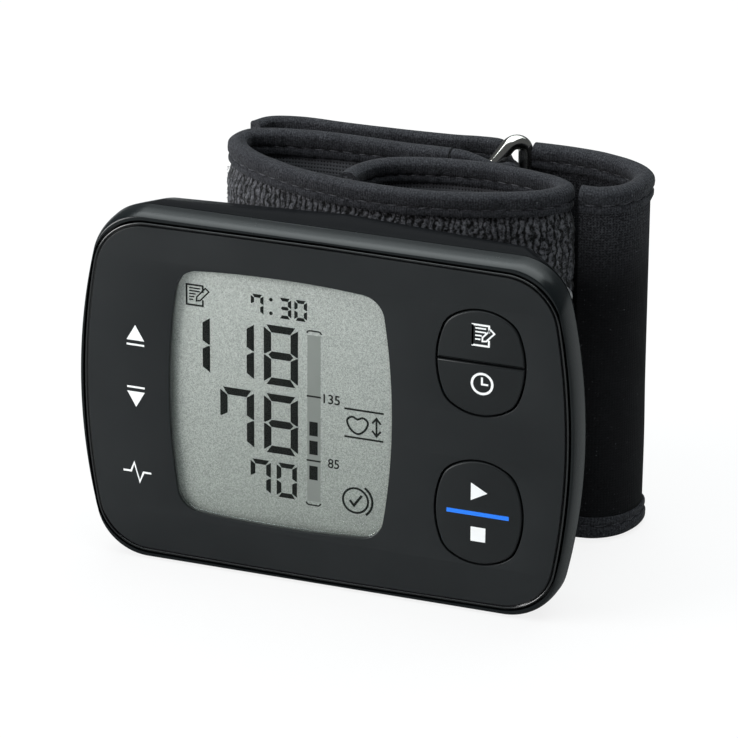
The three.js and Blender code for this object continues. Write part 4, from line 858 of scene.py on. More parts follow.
def figure(digit, left, low, wide, high, bar, gap):
    """Outlines of the lit bars of one digit. Three bars are drawn and the others mirrored."""
    right, top, half = left + wide, low + high, low + high / 2
    g, b, corner = gap / 2, bar, bar * 0.3
    top_bar = [(left + g + corner, top), (right - g - corner, top),
               (right - b - g * 0.4, top - b), (left + b + g * 0.4, top - b)]
    side_bar = [(right, top - g - corner), (right, half + 2 * g), (right - b * 0.15, half + g),
                (right - b, half + g + b / 2), (right - b, top - b - g)]
    middle_bar = [(left + b * 0.55 + g, half), (left + b + g, half + b / 2),
                  (right - b - g, half + b / 2), (right - b * 0.55 - g, half),
                  (right - b - g, half - b / 2), (left + b + g, half - b / 2)]
    across = lambda bar: [(left + right - x, z) for x, z in bar]
    down = lambda bar: [(x, low + top - z) for x, z in bar]
    bars = {"a": top_bar, "b": side_bar, "c": down(side_bar), "d": down(top_bar),
            "e": across(down(side_bar)), "f": across(side_bar), "g": middle_bar}
    return [bars[letter] for letter in LIT[digit]]


def stroke(points, thick, closed=False):
    """A line of even thickness through points, as flat outlines, one for each run."""
    line = np.array(points, float)
    after = np.roll(line, -1, 0) - line
    if not closed:
        after[-1] = line[-1] - line[-2]
    after /= np.linalg.norm(after, axis=1)[:, None]
    before = np.roll(after, 1, 0)
    if not closed:
        before[0] = after[0]
    aside = np.stack([-(after + before)[:, 1], (after + before)[:, 0]], 1)
    aside /= np.linalg.norm(aside, axis=1)[:, None]
    lean = np.clip(np.einsum("ij,ij->i", aside, np.stack([-after[:, 1], after[:, 0]], 1)), 0.5, 1)
    aside *= (thick / 2 / lean)[:, None]
    low_side, high_side = line - aside, line + aside
    runs = range(len(line) if closed else len(line) - 1)
    ends = [(i, (i + 1) % len(line)) for i in runs]
    return [[low_side[i], low_side[j], high_side[j], high_side[i]] for i, j in ends]


def box_shape(x0, z0, x1, z1):
    return [(x0, z0), (x1, z0), (x1, z1), (x0, z1)]


def arc(x, z, radius, start, end, count=24):
    turns = np.radians(np.linspace(start, end, count + 1))
    return [(x + radius * math.cos(a), z + radius * math.sin(a)) for a in turns]


def disc(x, z, radius, count=16):
    return arc(x, z, radius, 0, 360 * (1 - 1 / count), count - 1)


def flat_marks(name, shapes, depth, thick=0.02):
    """Flat shapes with a very small thickness, standing on a face that looks forward."""
    points, faces = [], []
    for shape in shapes:
        base, n = len(points), len(shape)
        points += [(x, depth - thick, z) for x, z in shape] + [(x, depth, z) for x, z in shape]
        turn = sum(x0 * z1 - x1 * z0 for (x0, z0), (x1, z1) in zip(shape, [*shape[1:], shape[0]]))
        order = list(range(n)) if turn > 0 else list(range(n - 1, -1, -1))
        faces.append(tuple(base + i for i in order))
        faces.append(tuple(base + n + i for i in reversed(order)))
        for k in range(n):
            i, j = order[k], order[(k + 1) % n]
            faces.append((base + j, base + i, base + n + i, base + n + j))
    mesh = bpy.data.meshes.new(name)
    mesh.from_pydata(metres(points).tolist(), [], faces)
    return linked(name, mesh)


# %% Readings on the display
# Width, height, thickness of a bar, gap between bars
BIG, PULSE, CLOCK = (6.13, 10.83, 1.33, 0.17), (3.68, 6.36, 0.86, 0.17), (2.28, 3.74, 0.60, 0.17)
shapes = []
for digit, left, low, size in (
    ("1", -26.92, 35.48, BIG), ("1", -18.98, 35.48, BIG), ("8", -11.10, 35.43, BIG),
    ("7", -19.00, 22.95, BIG), ("8", -11.10, 22.95, BIG),
    ("7", -13.55, 15.02, PULSE), ("0", -8.84, 15.00, PULSE),
    ("7", -13.40, 47.68, CLOCK), ("3", -8.45, 47.68, CLOCK), ("0", -5.63, 47.68, CLOCK),
):
    shapes += figure(digit, left, low, *size)
shapes += [disc(-9.8, 50.79, 0.33), disc(-9.8, 48.35, 0.33)]
figures = flat_marks("display_figures", shapes, DISPLAY_FACE)
wear(figures, SEGMENT_BLACK)
print("segments on the display:", len(shapes))

# %% [markdown]
# Beside the figures runs a level strip with two plain scale numbers, and there are
# a few common signs: a notepad, a heart with an up-and-down arrow, and a ring with a tick.

# %% Signs on the display
LEVELS = ((27.2, 29.78), (23.77, 26.3), (19.14, 21.7))
UPPER_CAP = [(-3.40, 45.78), (-3.18, 46.12), (-2.83, 46.24),
             (-1.26, 46.24), (-0.98, 46.12), (-0.78, 45.80)]
LOWER_CAP = [(-3.50, 14.92), (-3.30, 14.60), (-3.00, 14.46),
             (-1.30, 14.46), (-1.05, 14.60), (-0.88, 14.92)]
HEART_X, HEART_Z, HEART_HALF, HEART_UP, HEART_DIP = 5.67, 30.75, 1.83, 1.25, 0.55
RING_SIGN_X, RING_SIGN_Z = 5.38, 16.56


def heart_point(turn):
    """A circle with its sides drawn in towards a point below and a dip above."""
    side, rise = math.cos(turn), math.sin(turn)
    dip = HEART_DIP * math.exp(-(side / 0.28) ** 2) if rise > 0 else 0
    return (HEART_X + HEART_HALF * side * (0.62 + 0.38 * (1 + rise) ** 0.5),
            HEART_Z + HEART_UP * rise * (1 if rise > 0 else 1.55) - dip)


shapes = [box_shape(-2.93, low, -1.43, high) for low, high in LEVELS]
for line, thick in (
    ([(-3.40, 34.40), (-0.88, 34.40)], 0.3), ([(-3.42, 22.66), (-0.92, 22.66)], 0.3),
    (UPPER_CAP, 0.26), (LOWER_CAP, 0.26),
    ([(3.32, 33.16), (10.32, 33.16)], 0.34), ([(3.34, 28.09), (10.28, 28.09)], 0.34),
):
    shapes += stroke(line, thick)
shapes += stroke([heart_point(math.pi * (0.5 + i / 20)) for i in range(40)], 0.37, closed=True)
for line in ([(9.05, 28.95), (9.05, 32.05)], [(8.28, 31.15), (9.05, 32.12), (9.82, 31.15)],
             [(8.28, 29.85), (9.05, 28.88), (9.82, 29.85)]):
    shapes += stroke(line, 0.34)
shapes += stroke(arc(RING_SIGN_X, RING_SIGN_Z, 2.25, 0, 350, 35), 0.38, closed=True)
shapes += stroke(arc(RING_SIGN_X, RING_SIGN_Z, 3.02, 58, -52, 20), 0.42)
shapes += stroke([(4.35, 16.50), (5.10, 15.62), (6.50, 17.60)], 0.44)


def notepad(x, z, wide, high, pencil, thin, rows=5):
    """A ruled sheet with a pencil across its lower right corner."""
    made = stroke([(x, z), (x, z + high), (x + wide, z + high), (x + wide, z + high * 0.66)], thin)
    made += stroke([(x + wide, z + high * 0.30), (x + wide, z), (x, z), (x, z + high)], thin)
    for i in range(rows):
        rise = z + high * (0.84 - 0.72 / rows * i)
        reach = wide * (0.82 if i < 2 else 0.72 - 0.08 * i)
        made += stroke([(x + wide * 0.16, rise), (x + reach, rise)], thin * 0.8)
    tip, pencil = np.array([x + wide * 0.60, z + high * 0.22]), np.array(pencil)
    end, neck = tip + pencil, tip + pencil * 0.2
    side = np.array([-pencil[1], pencil[0]]) / math.hypot(*pencil) * thin * 1.35
    made += stroke([tip, neck + side, end + side, end - side, neck - side], thin * 0.85, closed=True)
    return made


shapes += notepad(-24.95, 47.82, 2.93, 3.62, (1.95, 2.2), 0.31)
signs = flat_marks("display_signs", shapes, DISPLAY_FACE)
wear(signs, SEGMENT_BLACK)


NUMBER_THICK = 0.012


def scale_number(name, digits, left, low, wide, high):
    """Plain printed digits, fitted to a box on the display."""
    curve = bpy.data.curves.new(name + "_outline", "FONT")
    curve.body, curve.offset, curve.extrude = digits, 0.012, 0.006
    holder = linked(name + "_outline", curve)
    bpy.context.view_layer.update()
    made = baked(holder, name)
    flat = np.array([v.co for v in made.data.vertices])
    flat = (flat - flat.min(0)) / np.ptp(flat, axis=0) * [wide, high, NUMBER_THICK]
    for v, (x, z, y) in zip(made.data.vertices, flat):
        v.co = metres([(left + x, DISPLAY_FACE - NUMBER_THICK + y, low + z)])[0]
    wear(made, SEGMENT_BLACK)


scale_number("upper_scale_number", "135", -0.42, 33.47, 2.95, 1.72)
scale_number("lower_scale_number", "85", 0.42, 21.78, 2.0, 1.72)
strip = flat_marks("display_strip", [box_shape(-3.30, 15.15, -0.92, 45.45)], DISPLAY_FACE, 0.008)
wear(strip, SEGMENT_GHOST)
print("signs on the display:", len(shapes))

# %% [markdown]
# ## The keys
# Each key is a low block with a rounded top edge that stands a tenth of a millimetre
# proud. The upper squircle is one shape cut in two, so both halves are clipped from the
# same outline. Behind the face each has a flange that keeps it in and a plunger that
# presses the dome switch.

# %% Keys
def clipped(outline, low, high):
    """The part of a convex outline between two heights."""
    ring = [tuple(p) for p in outline]
    for limit, keep in ((low, 1), (high, -1)):
        kept = []
        for i, now in enumerate(ring):
            was = ring[i - 1]
            inside, before = (now[1] - limit) * keep >= 0, (was[1] - limit) * keep >= 0
            if inside != before:
                t = (limit - was[1]) / (now[1] - was[1])
                kept.append((was[0] + (now[0] - was[0]) * t, limit))
            if inside:
                kept.append(now)
        ring = kept
    return np.array(ring)


def rod(name, x, z, radius, front, back):
    ring = moved(np.array(disc(0, 0, radius, 24)), x, z)
    return loft(name, [(ring, front), (ring, back)], creased=40)


KEY_FACE, HALF_SPLIT, KEY_BEYOND, KEY_GAP, FLANGE_WIDER = -0.12, 0.175, 30, 0.35, 0.6
CAP_BACK, FLANGE_FRONT, FLANGE_BACK = 2.85, 2.86, 3.44
STEM_FRONT, STEM_BACK, STEM_RADIUS = 3.45, 3.73, 1.6
for name, z, low, high in (
    ("memory", UPPER_KEY_Z, HALF_SPLIT, KEY_BEYOND), ("clock", UPPER_KEY_Z, -KEY_BEYOND, -HALF_SPLIT),
    ("start_stop", LOWER_KEY_Z, -KEY_BEYOND, KEY_BEYOND),
):
    low, high = z + low, z + high
    cap = plate("cap", [clipped(key_outline(-KEY_GAP, z), low, high)],
                KEY_FACE, CAP_BACK, 0.3, rolls=4)
    flange = plate("flange", [clipped(key_outline(FLANGE_WIDER, z), low, high)],
                   FLANGE_FRONT, FLANGE_BACK, 0.08, rolls=1)
    middle_z = (max(low, z - KEY[1]) + min(high, z + KEY[1])) / 2
    stem = rod("stem", KEY_X, middle_z, STEM_RADIUS, STEM_FRONT, STEM_BACK)
    pressed = join(name + "_key_cap", cap, flange, stem)
    wear(pressed, KEY_BLACK, name + "_key", [name + "_button"])

# %% [markdown]
# The keys carry printed signs: the notepad, a clock, and a blue rule between a start
# triangle and a stop square, the plain signs in place of words. Ink stands only a
# hundredth of a millimetre above the key, and it moves with it.

# %% Prints on the keys
INK = 0.012
hands = stroke(arc(28.03, 41.93, 1.78, 0, 350, 35), 0.42, closed=True)
hands += stroke([(28.0, 43.1), (28.0, 41.85), (29.1, 41.85)], 0.34)
start_and_stop = [[(26.35, 20.7), (26.35, 23.9), (29.25, 22.3)], box_shape(26.4, 13.3, 29.0, 15.9)]
for name, shapes, ink, slot, body in (
    ("memory_key_print", notepad(26.25, 48.72, 2.85, 3.62, (1.75, 1.9), 0.33, rows=4),
     PRINT_WHITE, "holder_white", "memory_key"),
    ("clock_key_print", hands, PRINT_WHITE, "holder_white", "clock_key"),
    ("start_stop_key_print", start_and_stop, PRINT_WHITE, "holder_white", "start_stop_key"),
    ("start_stop_key_rule", [box_shape(22.1, 17.95, 33.05, 18.7)],
     PRINT_BLUE, "cell_blue", "start_stop_key"),
):
    wear(flat_marks(name, shapes, KEY_FACE, INK), ink, body)

# %% [markdown]
# On the left of the window, three small signs say which number is which: a triangle up
# for the upper pressure, a triangle down for the lower one, and a beat for the pulse.

# %% Signs on the panel
beat = [(-36.3, 16.2), (-34.9, 16.2), (-34.3, 17.8), (-33.3, 14.4), (-32.6, 16.2), (-31.2, 16.2)]
labels = [[(-35.4, 40.4), (-32.2, 40.4), (-33.8, 43.2)],
          [(-35.4, 31.0), (-33.8, 28.2), (-32.2, 31.0)]]
labels += stroke([(-35.4, 39.6), (-32.2, 39.6)], 0.34) + stroke([(-35.4, 31.8), (-32.2, 31.8)], 0.34)
labels += stroke(beat, 0.34)
label = flat_marks("panel_print", labels, 0.0, INK)
wear(label, PRINT_WHITE)
print("prints ready")

# %% [markdown]
# ## The rear shell
# Behind the parting line the case draws in, which hides its thickness from the front,
# and its corners grow rounder towards the back. A hollow shell is made by cutting a
# smaller loft out of a larger one. The battery opening is cut after that, so that the
# shell has a real edge there.

# %% Rear shell
BACK_IN, TAPER, BACK_ROUND, BACK_CORNER_MORE, WALL = 4.1, 1.25, 1.4, 4.0, 1.5
OPENING_RIM, OPENING_LEFT, OPENING_RIGHT = 2.2, 0.7, 1.2


def rear_outline(depth, inset, shrink):
    share = min(1.0, max(0.0, (depth - PARTING) / (CASE_DEEP - PARTING)))
    corner = CASE_CORNER + BACK_CORNER_MORE * share - shrink
    return case_outline(BACK_IN * share ** TAPER + inset, inset, corner)


def rear_rings(shrink, front, back, steps=10, rolls=5):
    straight = back - BACK_ROUND
    made = []
    for i in range(steps + 1):
        depth = front + (straight - front) * i / steps
        made.append((read_at(rear_outline(depth, shrink, shrink)), depth))
    for i in range(1, rolls + 1):
        a = math.pi / 2 * i / rolls
        depth = straight + BACK_ROUND * math.sin(a)
        inset = shrink + BACK_ROUND * (1 - math.cos(a))
        made.append((read_at(rear_outline(depth, inset, shrink)), depth))
    return made


shell = loft("rear_shell", rear_rings(0, PARTING, CASE_DEEP))
shell = carve(shell, loft("hollow", rear_rings(WALL, PARTING - 3, CASE_DEEP - WALL)))
(tray_left, _, _), (tray_right, _, _) = (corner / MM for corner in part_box("battery_tray"))
(_, _, door_low), (_, _, door_high) = (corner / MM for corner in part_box("battery_cover"))
opening = block("opening", (tray_left + OPENING_LEFT, CASE_DEEP - 3, door_low + OPENING_RIM),
                (tray_right + OPENING_RIGHT, CASE_DEEP + 3, door_high - OPENING_RIM))
shell = carve(shell, opening)
print("rear shell:", len(shell.data.polygons), "faces")

# %% [markdown]
# Between the shell and the cuff stands a plinth whose back is curved to the cuff. It is
# a tapered block, cut along the cuff's curve. Six screws hold the shell and the plate.

# %% Plinth and screw wells
CUFF_X, CUFF_HALF, CUFF_FRONT, CUFF_DEEP = 1.5, 31.0, 23.5, 26.8
CUFF_OUT, CUFF_BOW, PLATE_THICK, PLATE_GAP = 1.7, 0.39, 1.6, 0.6
PLINTH_HALF, PLINTH_TALL, PLINTH_CORNER, PLINTH_DRAFT = 11.8, 22.5, 5, 2.2
PLINTH_SUNK, SHELL_CREASE = 1.0, 36
WELL_RADIUS, WELL_FLOOR = 1.9, 10.9


def front_curve(x):
    share = (x - CUFF_X) / CUFF_HALF
    return CUFF_FRONT + CUFF_DEEP * CUFF_BOW * share * share


def plinth():
    """Straight through the shell's back, then drawn in to the curve of the cuff."""
    heights = bowed(PLINTH_HALF, PLINTH_TALL, PLINTH_CORNER, 0, 0)
    rows = []
    for t in np.linspace(0, 2, 9):
        reach = max(0.0, t - 1)
        drawn_in = 1 - PLINTH_DRAFT * reach / np.array([PLINTH_HALF, PLINTH_TALL])
        x, z = (heights * drawn_in).T
        x, z = x + CUFF_X, z + MIDDLE
        far = front_curve(x) - CUFF_OUT - PLATE_THICK - PLATE_GAP
        depth = CASE_DEEP - PLINTH_SUNK * (1 - min(1, t)) + (far - CASE_DEEP) * reach
        rows.append(np.stack([x, depth, z], 1))
    return piece_from("plinth", np.concatenate(rows), tube_faces(len(rows), len(heights)), creased=38)


shell = carve(shell, plinth(), "UNION")
smooth(shell, SHELL_CREASE)
for number in (1, 2, 3, 4):
    low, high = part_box(f"case_screw_{number}")
    x, _, z = (low + high) / 2 / MM
    shell = carve(shell, rod("well", x, z, WELL_RADIUS, WELL_FLOOR, CASE_DEEP + 3))
smooth(shell, SHELL_CREASE)
wear(shell, REAR_BLACK, replaces=["rear_case"])
print("rear shell with plinth:", len(shell.data.polygons), "faces")

# %% [markdown]
# ## The battery cover
# The cover's solid has the right form already, with its finger grips and hooks. What a
# mould adds is a small radius on every edge, so this piece is the solid again with its
# edges rolled.

# %% Battery cover and other small mouldings
door = softened("battery_cover", "battery_door_cover", 0.16)
wear(door, REAR_BLACK, "battery_door", ["battery_cover"])
for node, edge, material, slot in (
    ("battery_tray", 0.12, HOLDER_WHITE, "holder_white"),
    ("mount_plate", 0.2, REAR_BLACK, "rear_black"),
    ("battery_1", 0.25, CELL_BLUE, "cell_blue"), ("battery_2", 0.25, CELL_BLUE, "cell_blue"),
):
    wear(softened(node, node + "_smooth", edge), material, replaces=[node])
print("battery cover:", len(door.data.polygons), "faces")

# %% [markdown]
# ## The line of the cuff
# Seen from above, the cuff is a band that coils: it starts inside, goes round on the
# right, runs across behind the case, and turns back on the left. The line is the one
# that the solids use, a smooth curve through a few points, cut into equal steps.

# %% Lines in plan
def on_cuff(shares):
    return np.array([(CUFF_X + a * CUFF_HALF, CUFF_FRONT + b * CUFF_DEEP) for a, b in shares])


class Line:
    """Equal steps along a curve in plan, with the direction out of the coil."""

    def __init__(self, points, step=0.5):
        points = np.asarray(points, float)
        held = np.vstack([2 * points[0] - points[1], points, 2 * points[-1] - points[-2]])
        drawn = []
        for i in range(len(points) - 1):
            p0, p1, p2, p3 = held[i:i + 4]
            d0, d1, d2 = (math.dist(a, b) ** 0.5 for a, b in ((p0, p1), (p1, p2), (p2, p3)))
            m1 = ((p1 - p0) / d0 - (p2 - p0) / (d0 + d1) + (p2 - p1) / d1) * d1
            m2 = ((p2 - p1) / d1 - (p3 - p1) / (d1 + d2) + (p3 - p2) / d2) * d1
            t = np.linspace(0, 1, 80, endpoint=False)[:, None]
            drawn.append((2 * t**3 - 3 * t**2 + 1) * p1 + (t**3 - 2 * t**2 + t) * m1
                         + (-2 * t**3 + 3 * t**2) * p2 + (t**3 - t**2) * m2)
        drawn = np.vstack(drawn + [points[-1:]])
        run = np.concatenate([[0], np.cumsum(np.linalg.norm(np.diff(drawn, axis=0), axis=1))])
        self.length = run[-1]
        count = max(8, int(round(self.length / step)) + 1)
        self.along = np.linspace(0, self.length, count)
        self.x = np.interp(self.along, run, drawn[:, 0])
        self.y = np.interp(self.along, run, drawn[:, 1])
        tx, ty = np.gradient(self.x), np.gradient(self.y)
        size = np.hypot(tx, ty)
        self.nx, self.ny = -ty / size, tx / size

    def __len__(self):
        return len(self.along)


MAIN = Line(np.vstack([
    on_cuff([(-0.242, 0.153), (-0.229, 0.28), (-0.165, 0.422), (-0.042, 0.519), (0.113, 0.578),
             (0.277, 0.612), (0.484, 0.625), (0.703, 0.588), (0.86, 0.53), (0.925, 0.44),
             (0.89, 0.34)]),
    on_cuff([(a, CUFF_BOW * a * a)
             for a in (0.8, 0.64, 0.46, 0.28, 0.1, -0.1, -0.28, -0.46, -0.64, -0.82)]),
    on_cuff([(-0.95, 0.384), (-1.013, 0.51), (-0.985, 0.646), (-0.865, 0.713), (-0.661, 0.757),
             (-0.377, 0.784), (-0.048, 0.79), (0.161, 0.79)]),
]))
RING_X, RING_Y = CUFF_X + CUFF_HALF * 0.4484, CUFF_FRONT + CUFF_DEEP * 0.985
RING_TURN = math.pi / 4
RING_WIRE, RING_SPAN = 2.6, 6.2
ring_way = np.array([math.cos(RING_TURN), math.sin(RING_TURN)])
LEFT_LEG, RIGHT_LEG = (np.array([RING_X, RING_Y]) + half * ring_way
                       for half in (-RING_SPAN / 2, RING_SPAN / 2))
FOLD_RADIUS = 3.1
STRAP = Line(np.vstack([
    [(MAIN.x[-1] + 0.35, MAIN.y[-1])],
    np.array(arc(*LEFT_LEG, FOLD_RADIUS, -90, 45, 8)),
    on_cuff([(0.37, 1.058), (0.26, 1.058), (0.113, 1.03), (-0.21, 1.0), (-0.532, 0.985),
             (-0.806, 0.98), (-0.955, 0.92), (-1.01, 0.81)]),
]))
RING_BAND = Line(on_cuff([
    (1.016, 0.444), (1.13, 0.463), (1.226, 0.549), (1.276, 0.69), (1.268, 0.84), (1.165, 0.975),
    (0.985, 1.06), (0.79, 1.09), (0.6, 1.09), (0.565, 1.09)]))
KEEPER_RADIUS, KEEPER_OUT, KEEPER_LONG, KEEPER_LOW = 1.8, 1.7, 2.4, 9.2
band_end = np.array([RING_BAND.x[-1], RING_BAND.y[-1]])
KEEPER = Line(np.vstack([
    band_end + [KEEPER_LONG, KEEPER_OUT], band_end + [0, KEEPER_OUT],
    np.array(arc(*RIGHT_LEG, KEEPER_RADIUS, 72, 288, 8)),
    band_end - [0, KEEPER_OUT], band_end + [KEEPER_LONG, -KEEPER_OUT],
]), 0.4)
print("lengths in mm: cuff", round(MAIN.length), "strap", round(STRAP.length),
      "ring band", round(RING_BAND.length))

# %% [markdown]
# ## Sweeping cloth
# A band is a section carried along its line. The section may change as it goes, so it
# is a function of the distance along. Seeded smooth noise gives each cloth its own soft
# waves, because a perfectly even band looks like plastic.

# %% Sweep and soft noise
CUFF_HIGH = 64.7


def waves(u, v, cell_u, cell_v, seed):
    """Smooth noise from -1 to 1 over cloth coordinates."""
    dice = np.random.default_rng(seed)
    lattice = dice.uniform(-1, 1, (128, 128))
    a, b = np.asarray(u) / cell_u, np.asarray(v) / cell_v
    ia, ib = np.floor(a).astype(int), np.floor(b).astype(int)
    fa, fb = a - ia, b - ib
    fa, fb = fa * fa * (3 - 2 * fa), fb * fb * (3 - 2 * fb)
    at = lambda i, j: lattice[i % 128, j % 128]
    return ((at(ia, ib) * (1 - fa) + at(ia + 1, ib) * fa) * (1 - fb)
            + (at(ia, ib + 1) * (1 - fa) + at(ia + 1, ib + 1) * fa) * fb)


def on_line(line, index, out, height):
    """Points at a distance out of the line and at a height. Index may be fractional."""
    grid = np.arange(len(line))
    x, y = np.interp(index, grid, line.x), np.interp(index, grid, line.y)
    nx, ny = np.interp(index, grid, line.nx), np.interp(index, grid, line.ny)
    return np.stack([x + nx * out, y + ny * out, height], -1)


def sweep(name, line, section):
    """section(line) gives arrays of distance out and height, one row for each station."""
    out, height = section(line)
    rows, columns = out.shape
    index = np.repeat(np.arange(rows)[:, None], columns, 1)
    points = on_line(line, index, out, height).reshape(-1, 3)
    cloth = np.stack([np.repeat(line.along[:, None], columns, 1), height], -1).reshape(-1, 2)
    return piece_from(name, points, tube_faces(rows, columns), cloth, creased=60)


def smooth_step(value, low, high):
    t = np.clip((value - low) / (high - low), 0, 1)
    return t * t * (3 - 2 * t)


# %% [markdown]
# ## The cuff's two faces
# The cuff is a flat bag. Its outer face is loop pile, which the hook patch grips, and
# its inner face is a fine mesh against the skin. Both are pinched thin under the edge
# tape and swell in between over the air bladder.

# %% Outer face of loop pile
EDGE_HALF, TAPE_WIDE, EDGE_BED = 0.85, 4.2, 0.75
SWELL_UNDER_TAPE, SWELL_OVER = 0.6, 3.4


def swell(height, thin, full):
    """Thin under both tapes and full between them."""
    start, end = TAPE_WIDE - SWELL_UNDER_TAPE, TAPE_WIDE + SWELL_OVER
    rise = smooth_step(height, start, end)
    fall = 1 - smooth_step(height, CUFF_HIGH - end, CUFF_HIGH - start)
    return thin + (full - thin) * rise * fall


def cuff_grid(line, count, skip):
    """Distance along and height over a face, and the same for the coarser side behind it."""
    heights = np.linspace(EDGE_BED, CUFF_HIGH - EDGE_BED, count)
    u, h = np.meshgrid(line.along, heights, indexing="ij")
    return u, h, np.tile(heights[::-skip], (len(line), 1))


def pile_section(line):
    u, h, behind = cuff_grid(line, 150, 6)
    turn = 2 * math.pi * u / PILE_RIB + waves(u, h, 3.0, 2.2, 3) * 2.4
    ridge = np.sin(turn) * 0.07 + waves(u, h, 0.6, 0.7, 5) * 0.28
    rough = (ridge + waves(u, h, 14, 17, 7) * 0.12) * swell(h, 0.0, 1.0)
    outer = swell(h, EDGE_HALF, CUFF_OUT) + rough
    return np.hstack([outer, swell(behind, 0.08, 0.75)]), np.hstack([h, behind])


pile = sweep("cuff_pile_face", MAIN, pile_section)
wear(pile, PILE_FABRIC, replaces=["cuff_cover"])


def lining_section(line):
    u, h, behind = cuff_grid(line, 64, 3)
    inner = -swell(h, EDGE_HALF, CUFF_OUT) - waves(u, h, 9, 12, 11) * 0.15 * swell(h, 0, 1)
    return np.hstack([inner, -swell(behind, 0.08, 1.0)]), np.hstack([h, behind])


lining = sweep("cuff_lining_face", MAIN, lining_section)
wear(lining, LINING_FABRIC, replaces=["cuff_lining"])
print("cuff faces:", len(pile.data.polygons), "and", len(lining.data.polygons))

# %% [markdown]
# **The pile itself.** Loop pile is thousands of small standing loops. Seen close, they
# break up the edge of the cloth and catch the light one by one. Each loop here is a
# bent thread with a three-sided section, and they stand in rough rows.

# %% Loops of the pile
ARCH = ((-1.0, -0.1), (-0.8, 0.55), (0.0, 1.0), (0.8, 0.55), (1.0, -0.1))
LOOP_THREAD, LOOP_TALL, LOOP_COUNT = 0.05, 0.38, 12000


def loops(name, line, height_low, height_high, out, rows_per_mm, count, seed):
    dice = np.random.default_rng(seed)
    column = dice.uniform(0, line.length, count)
    column = np.round(column * rows_per_mm) / rows_per_mm + dice.normal(0, 0.22, count)
    height = dice.uniform(height_low, height_high, count)
    lean = dice.uniform(-1.2, 1.2, count)
    wide = dice.uniform(0.10, 0.24, count)
    rise = dice.uniform(0.45, 1.0, count) * LOOP_TALL
    step = line.length / (len(line) - 1)
    points = np.empty((count, len(ARCH), 3, 3))
    for i, (s, r) in enumerate(ARCH):
        side, lift = s * wide, r * rise
        u = np.clip(column + side * np.cos(lean), 0, line.length)
        h = height + side * np.sin(lean)
        for k in range(3):
            a = 2 * math.pi * k / 3
            du, dr = LOOP_THREAD * math.cos(a), LOOP_THREAD * math.sin(a)
            points[:, i, k] = on_line(line, np.clip((u - du * np.sin(lean)) / step, 0, len(line) - 1),
                                      out + lift + dr, h + du * np.cos(lean))
    base = np.arange(count)[:, None] * 15
    sides = [base + np.array([i * 3 + k, i * 3 + n, i * 3 + 3 + n, i * 3 + 3 + k])
             for i in range(len(ARCH) - 1) for k, n in ((0, 1), (1, 2), (2, 0))]
    ends = np.concatenate([base + np.array([0, 2, 1]), base + np.array([12, 13, 14])])
    faces = [tuple(face) for face in [*np.stack(sides, 1).reshape(-1, 4).tolist(), *ends.tolist()]]
    return piece_from(name, points.reshape(-1, 3), faces)


outer_loops = loops("cuff_pile_loops", MAIN, TAPE_WIDE + 1.0, CUFF_HIGH - TAPE_WIDE - 1.0,
                    CUFF_OUT - 0.15, 1 / PILE_RIB, LOOP_COUNT, 21)
wear(outer_loops, FUZZ_FIBRE)
print("pile loops:", len(outer_loops.data.polygons), "faces")

# %% [markdown]
# ## The binding tape
# Every raw edge is wrapped in a folded tape and sewn through. The tape is rolled over
# the edge, pulled in along the stitch line, and stands off a little below it. That
# pulled-in line is what makes it look sewn rather than glued.

# %% Tape and its stitches
STITCH_DOWN, STITCH_LONG, STITCH_PITCH, STITCH_THREAD = 2.7, 1.9, 2.6, 0.11
ROUNDED_OFF = 0.35


def tape_section(line, edge, upwards, inner, outer, seed, fuller=0.0, room=np.inf):
    """A folded tape over one edge: round at the fold, nipped at the stitches."""
    fold = np.linspace(math.pi / 2, 0, 9)
    down = [(outer * math.cos(a), outer * 0.62 * (1 - math.sin(a))) for a in fold]
    down += [(outer * share, drop) for share, drop in (
        (1.0, 1.6), (0.97, 2.15), (0.88, 2.5), (0.72, STITCH_DOWN), (0.86, 2.9), (0.93, 3.2),
        (0.92, 3.8), (0.86, 4.1), (0.74, TAPE_WIDE))]
    inside = [(inner * 0.92, TAPE_WIDE - 0.1), (inner * 0.92, 0.85), (-inner * 0.92, 0.85),
              (-inner * 0.92, TAPE_WIDE - 0.1)]
    other = [(-o, d) for o, d in reversed(down[1:])]
    shape = np.array(down + inside + other)
    out = np.repeat(shape[None, :, 0], len(line), 0)
    drop = np.repeat(shape[None, :, 1], len(line), 0)
    u = np.repeat(line.along[:, None], len(shape), 1)
    side = np.sign(out) * 40
    sway = waves(u, side, 11.0, 10.0, seed)
    pucker = 0.06 * np.cos(2 * np.pi * u / STITCH_PITCH) * (drop > 1.2)
    out = (out * (1 + 0.05 * waves(u, side, 3.1, 10, seed + 1))
           + np.sign(out) * pucker * (np.abs(out) > inner))
    pressed = np.reshape(room, (-1, 1)) - ROUNDED_OFF * (1 - smooth_step(drop, 0.8, 1.6))
    out = np.minimum(out * (1 + np.reshape(fuller, (-1, 1))), pressed)
    wander = 0.16 * sway * smooth_step(drop, 2.4, 4.0)
    lift = 0.14 * waves(u, 0 * u, 16.0, 1.0, seed + 2)
    edge = np.asarray(edge, float).reshape(-1, 1) * np.ones((len(line), 1))
    height = edge - upwards * (drop + wander) + lift * (drop < 2)
    return out, height


